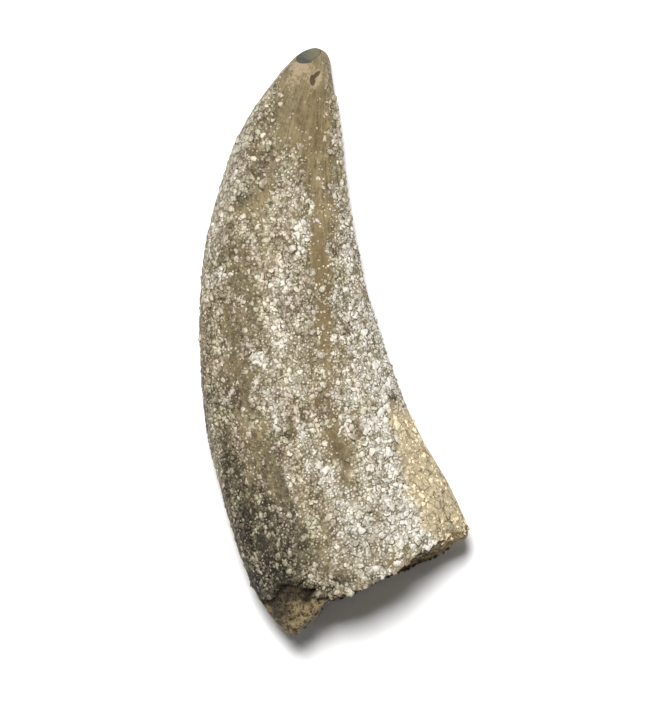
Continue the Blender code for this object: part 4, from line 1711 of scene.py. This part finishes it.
class StageSettings(bpy.types.PropertyGroup):
    """Camera and lights."""

    frame_width: length_setting("Frame width", 39.9, "Width that the camera sees")
    camera_height: length_setting("Camera height", 600.0, "Camera above the floor")
    floor_size: length_setting("Floor size", 900.0, "Side of the floor")
    key_power: bpy.props.FloatProperty(
        name="Key power", description="Power of the soft main light, in watts", default=1.34
    )
    key_size: length_setting("Key size", 88.0, "Side of the main light")
    fill: bpy.props.FloatProperty(
        name="Fill", description="Strength of the even light from all round", default=0.13
    )


# ---------------------------------------------------------------- operators


class TOOTH_OT_crown(bpy.types.Operator):
    """Builds the crown: enamel, groove, worn tip, broken base and dentine lobe"""

    bl_idname = "tooth.crown"
    bl_label = "Crown"

    def execute(self, context):
        sizes = context.scene.tooth_sizes
        tree = relief_tree()
        values = {
            "Pebble size": sizes.pebble_size,
            "Pebble lift": sizes.pebble_lift,
            "Wave lift": sizes.wave_lift,
            "Fracture lift": sizes.fracture_lift,
            "Material": fossil_enamel(context.scene.tooth_colours),
        }
        crown = run_tree("tooth_crown", crown_mesh(), tree, values)
        hand_in(crown)
        return {"FINISHED"}


class TOOTH_OT_denticles(bpy.types.Operator):
    """Sets the denticles along the distal edge"""

    bl_idname = "tooth.denticles"
    bl_label = "Denticles"

    def execute(self, context):
        sizes = context.scene.tooth_sizes
        values = {
            "Pitch": sizes.denticle_pitch,
            "Reach": sizes.denticle_reach,
            "Material": mineral_granules(context.scene.tooth_colours),
        }
        hand_in(run_tree("denticles", edge_line(), denticle_tree(), values))
        return {"FINISHED"}


class TOOTH_OT_granules(bpy.types.Operator):
    """Scatters the mineral granules of the crust over the crown"""

    bl_idname = "tooth.granules"
    bl_label = "Crust granules"

    def execute(self, context):
        crown = bpy.data.objects.get("tooth_crown")
        if crown is None:
            raise RuntimeError("the crown comes before its granules")
        material = mineral_granules(context.scene.tooth_colours)
        for name, field, spacing, smallest, largest, flatness, uneven, seed, shape in GRANULES:
            tree = granule_tree(name, shape)
            values = {
                "Spacing": spacing * MM,
                "Smallest": smallest * MM,
                "Largest": largest * MM,
                "Flatness": flatness,
                "Unevenness": uneven * MM,
                "Field": field,
                "Seed": seed,
                "Material": material,
            }
            hand_in(run_tree(name, crown.data.copy(), tree, values))
        return {"FINISHED"}


class TOOTH_OT_stage(bpy.types.Operator):
    """Lays the pale floor and sets up the soft lights and the camera looking straight down"""

    bl_idname = "tooth.stage"
    bl_label = "Stage"

    def execute(self, context):
        stage = context.scene.tooth_stage
        half = stage.floor_size / 2
        data = bpy.data.meshes.new("floor")
        corners = [(-half, -half, 0), (half, -half, 0), (half, half, 0), (-half, half, 0)]
        data.from_pydata(corners, [], [(0, 1, 2, 3)])
        data.materials.append(plain_card(context.scene.tooth_colours))
        floor = bpy.data.objects.new("floor", data)
        context.scene.collection.objects.link(floor)

        world = bpy.data.worlds.new("even_light")
        world.use_nodes = True
        world.node_tree.nodes["Background"].inputs["Color"].default_value = (1, 1, 1, 1)
        world.node_tree.nodes["Background"].inputs["Strength"].default_value = stage.fill
        context.scene.world = world

        key = bpy.data.lights.new("key", "AREA")
        key.size = stage.key_size
        key.energy = stage.key_power
        key_object = bpy.data.objects.new("key", key)
        key_object.location = Vector(KEY_PLACE) * MM
        key_object.rotation_euler = key_object.location.to_track_quat("Z", "Y").to_euler()
        context.scene.collection.objects.link(key_object)

        camera = bpy.data.cameras.new("camera")
        camera.sensor_fit = "HORIZONTAL"
        camera.sensor_width = SENSOR_WIDTH
        sees_at = stage.camera_height - FRAMED_HEIGHT * MM
        camera.lens = SENSOR_WIDTH * sees_at / stage.frame_width
        camera.clip_start = 0.01
        camera.clip_end = 10.0
        camera_object = bpy.data.objects.new("camera", camera)
        camera_object.location = (AIM[0] * MM, AIM[1] * MM, stage.camera_height)
        context.scene.collection.objects.link(camera_object)
        context.scene.camera = camera_object
        context.scene.view_settings.view_transform = "Standard"
        return {"FINISHED"}


OPERATORS = (TOOTH_OT_crown, TOOTH_OT_denticles, TOOTH_OT_granules, TOOTH_OT_stage)


class TOOTH_PT_panel(bpy.types.Panel):
    """Lists the tooth's pieces and their settings"""

    bl_idname = "TOOTH_PT_panel"
    bl_label = "Fossil Tooth"
    bl_space_type = "VIEW_3D"
    bl_region_type = "UI"
    bl_category = "Fossil Tooth"

    def draw(self, context):
        layout = self.layout
        for operator in OPERATORS:
            layout.operator(operator.bl_idname)
        for group in ("tooth_sizes", "tooth_colours", "tooth_stage"):
            settings = getattr(context.scene, group)
            box = layout.box()
            for name in settings.__annotations__:
                box.prop(settings, name)


SETTINGS = (
    ("tooth_sizes", ToothSizes),
    ("tooth_colours", ToothColours),
    ("tooth_stage", StageSettings),
)
CLASSES = (*[group for _, group in SETTINGS], *OPERATORS, TOOTH_PT_panel)


def register():
    for item in CLASSES:
        bpy.utils.register_class(item)
    for name, group in SETTINGS:
        setattr(bpy.types.Scene, name, bpy.props.PointerProperty(type=group))


def unregister():
    for name, _ in SETTINGS:
        delattr(bpy.types.Scene, name)
    for item in reversed(CLASSES):
        bpy.utils.unregister_class(item)


def main():
    register()
    bpy.ops.tooth.crown()
    bpy.ops.tooth.denticles()
    bpy.ops.tooth.granules()
    bpy.ops.tooth.stage()


if __name__ == "__main__":
    main()
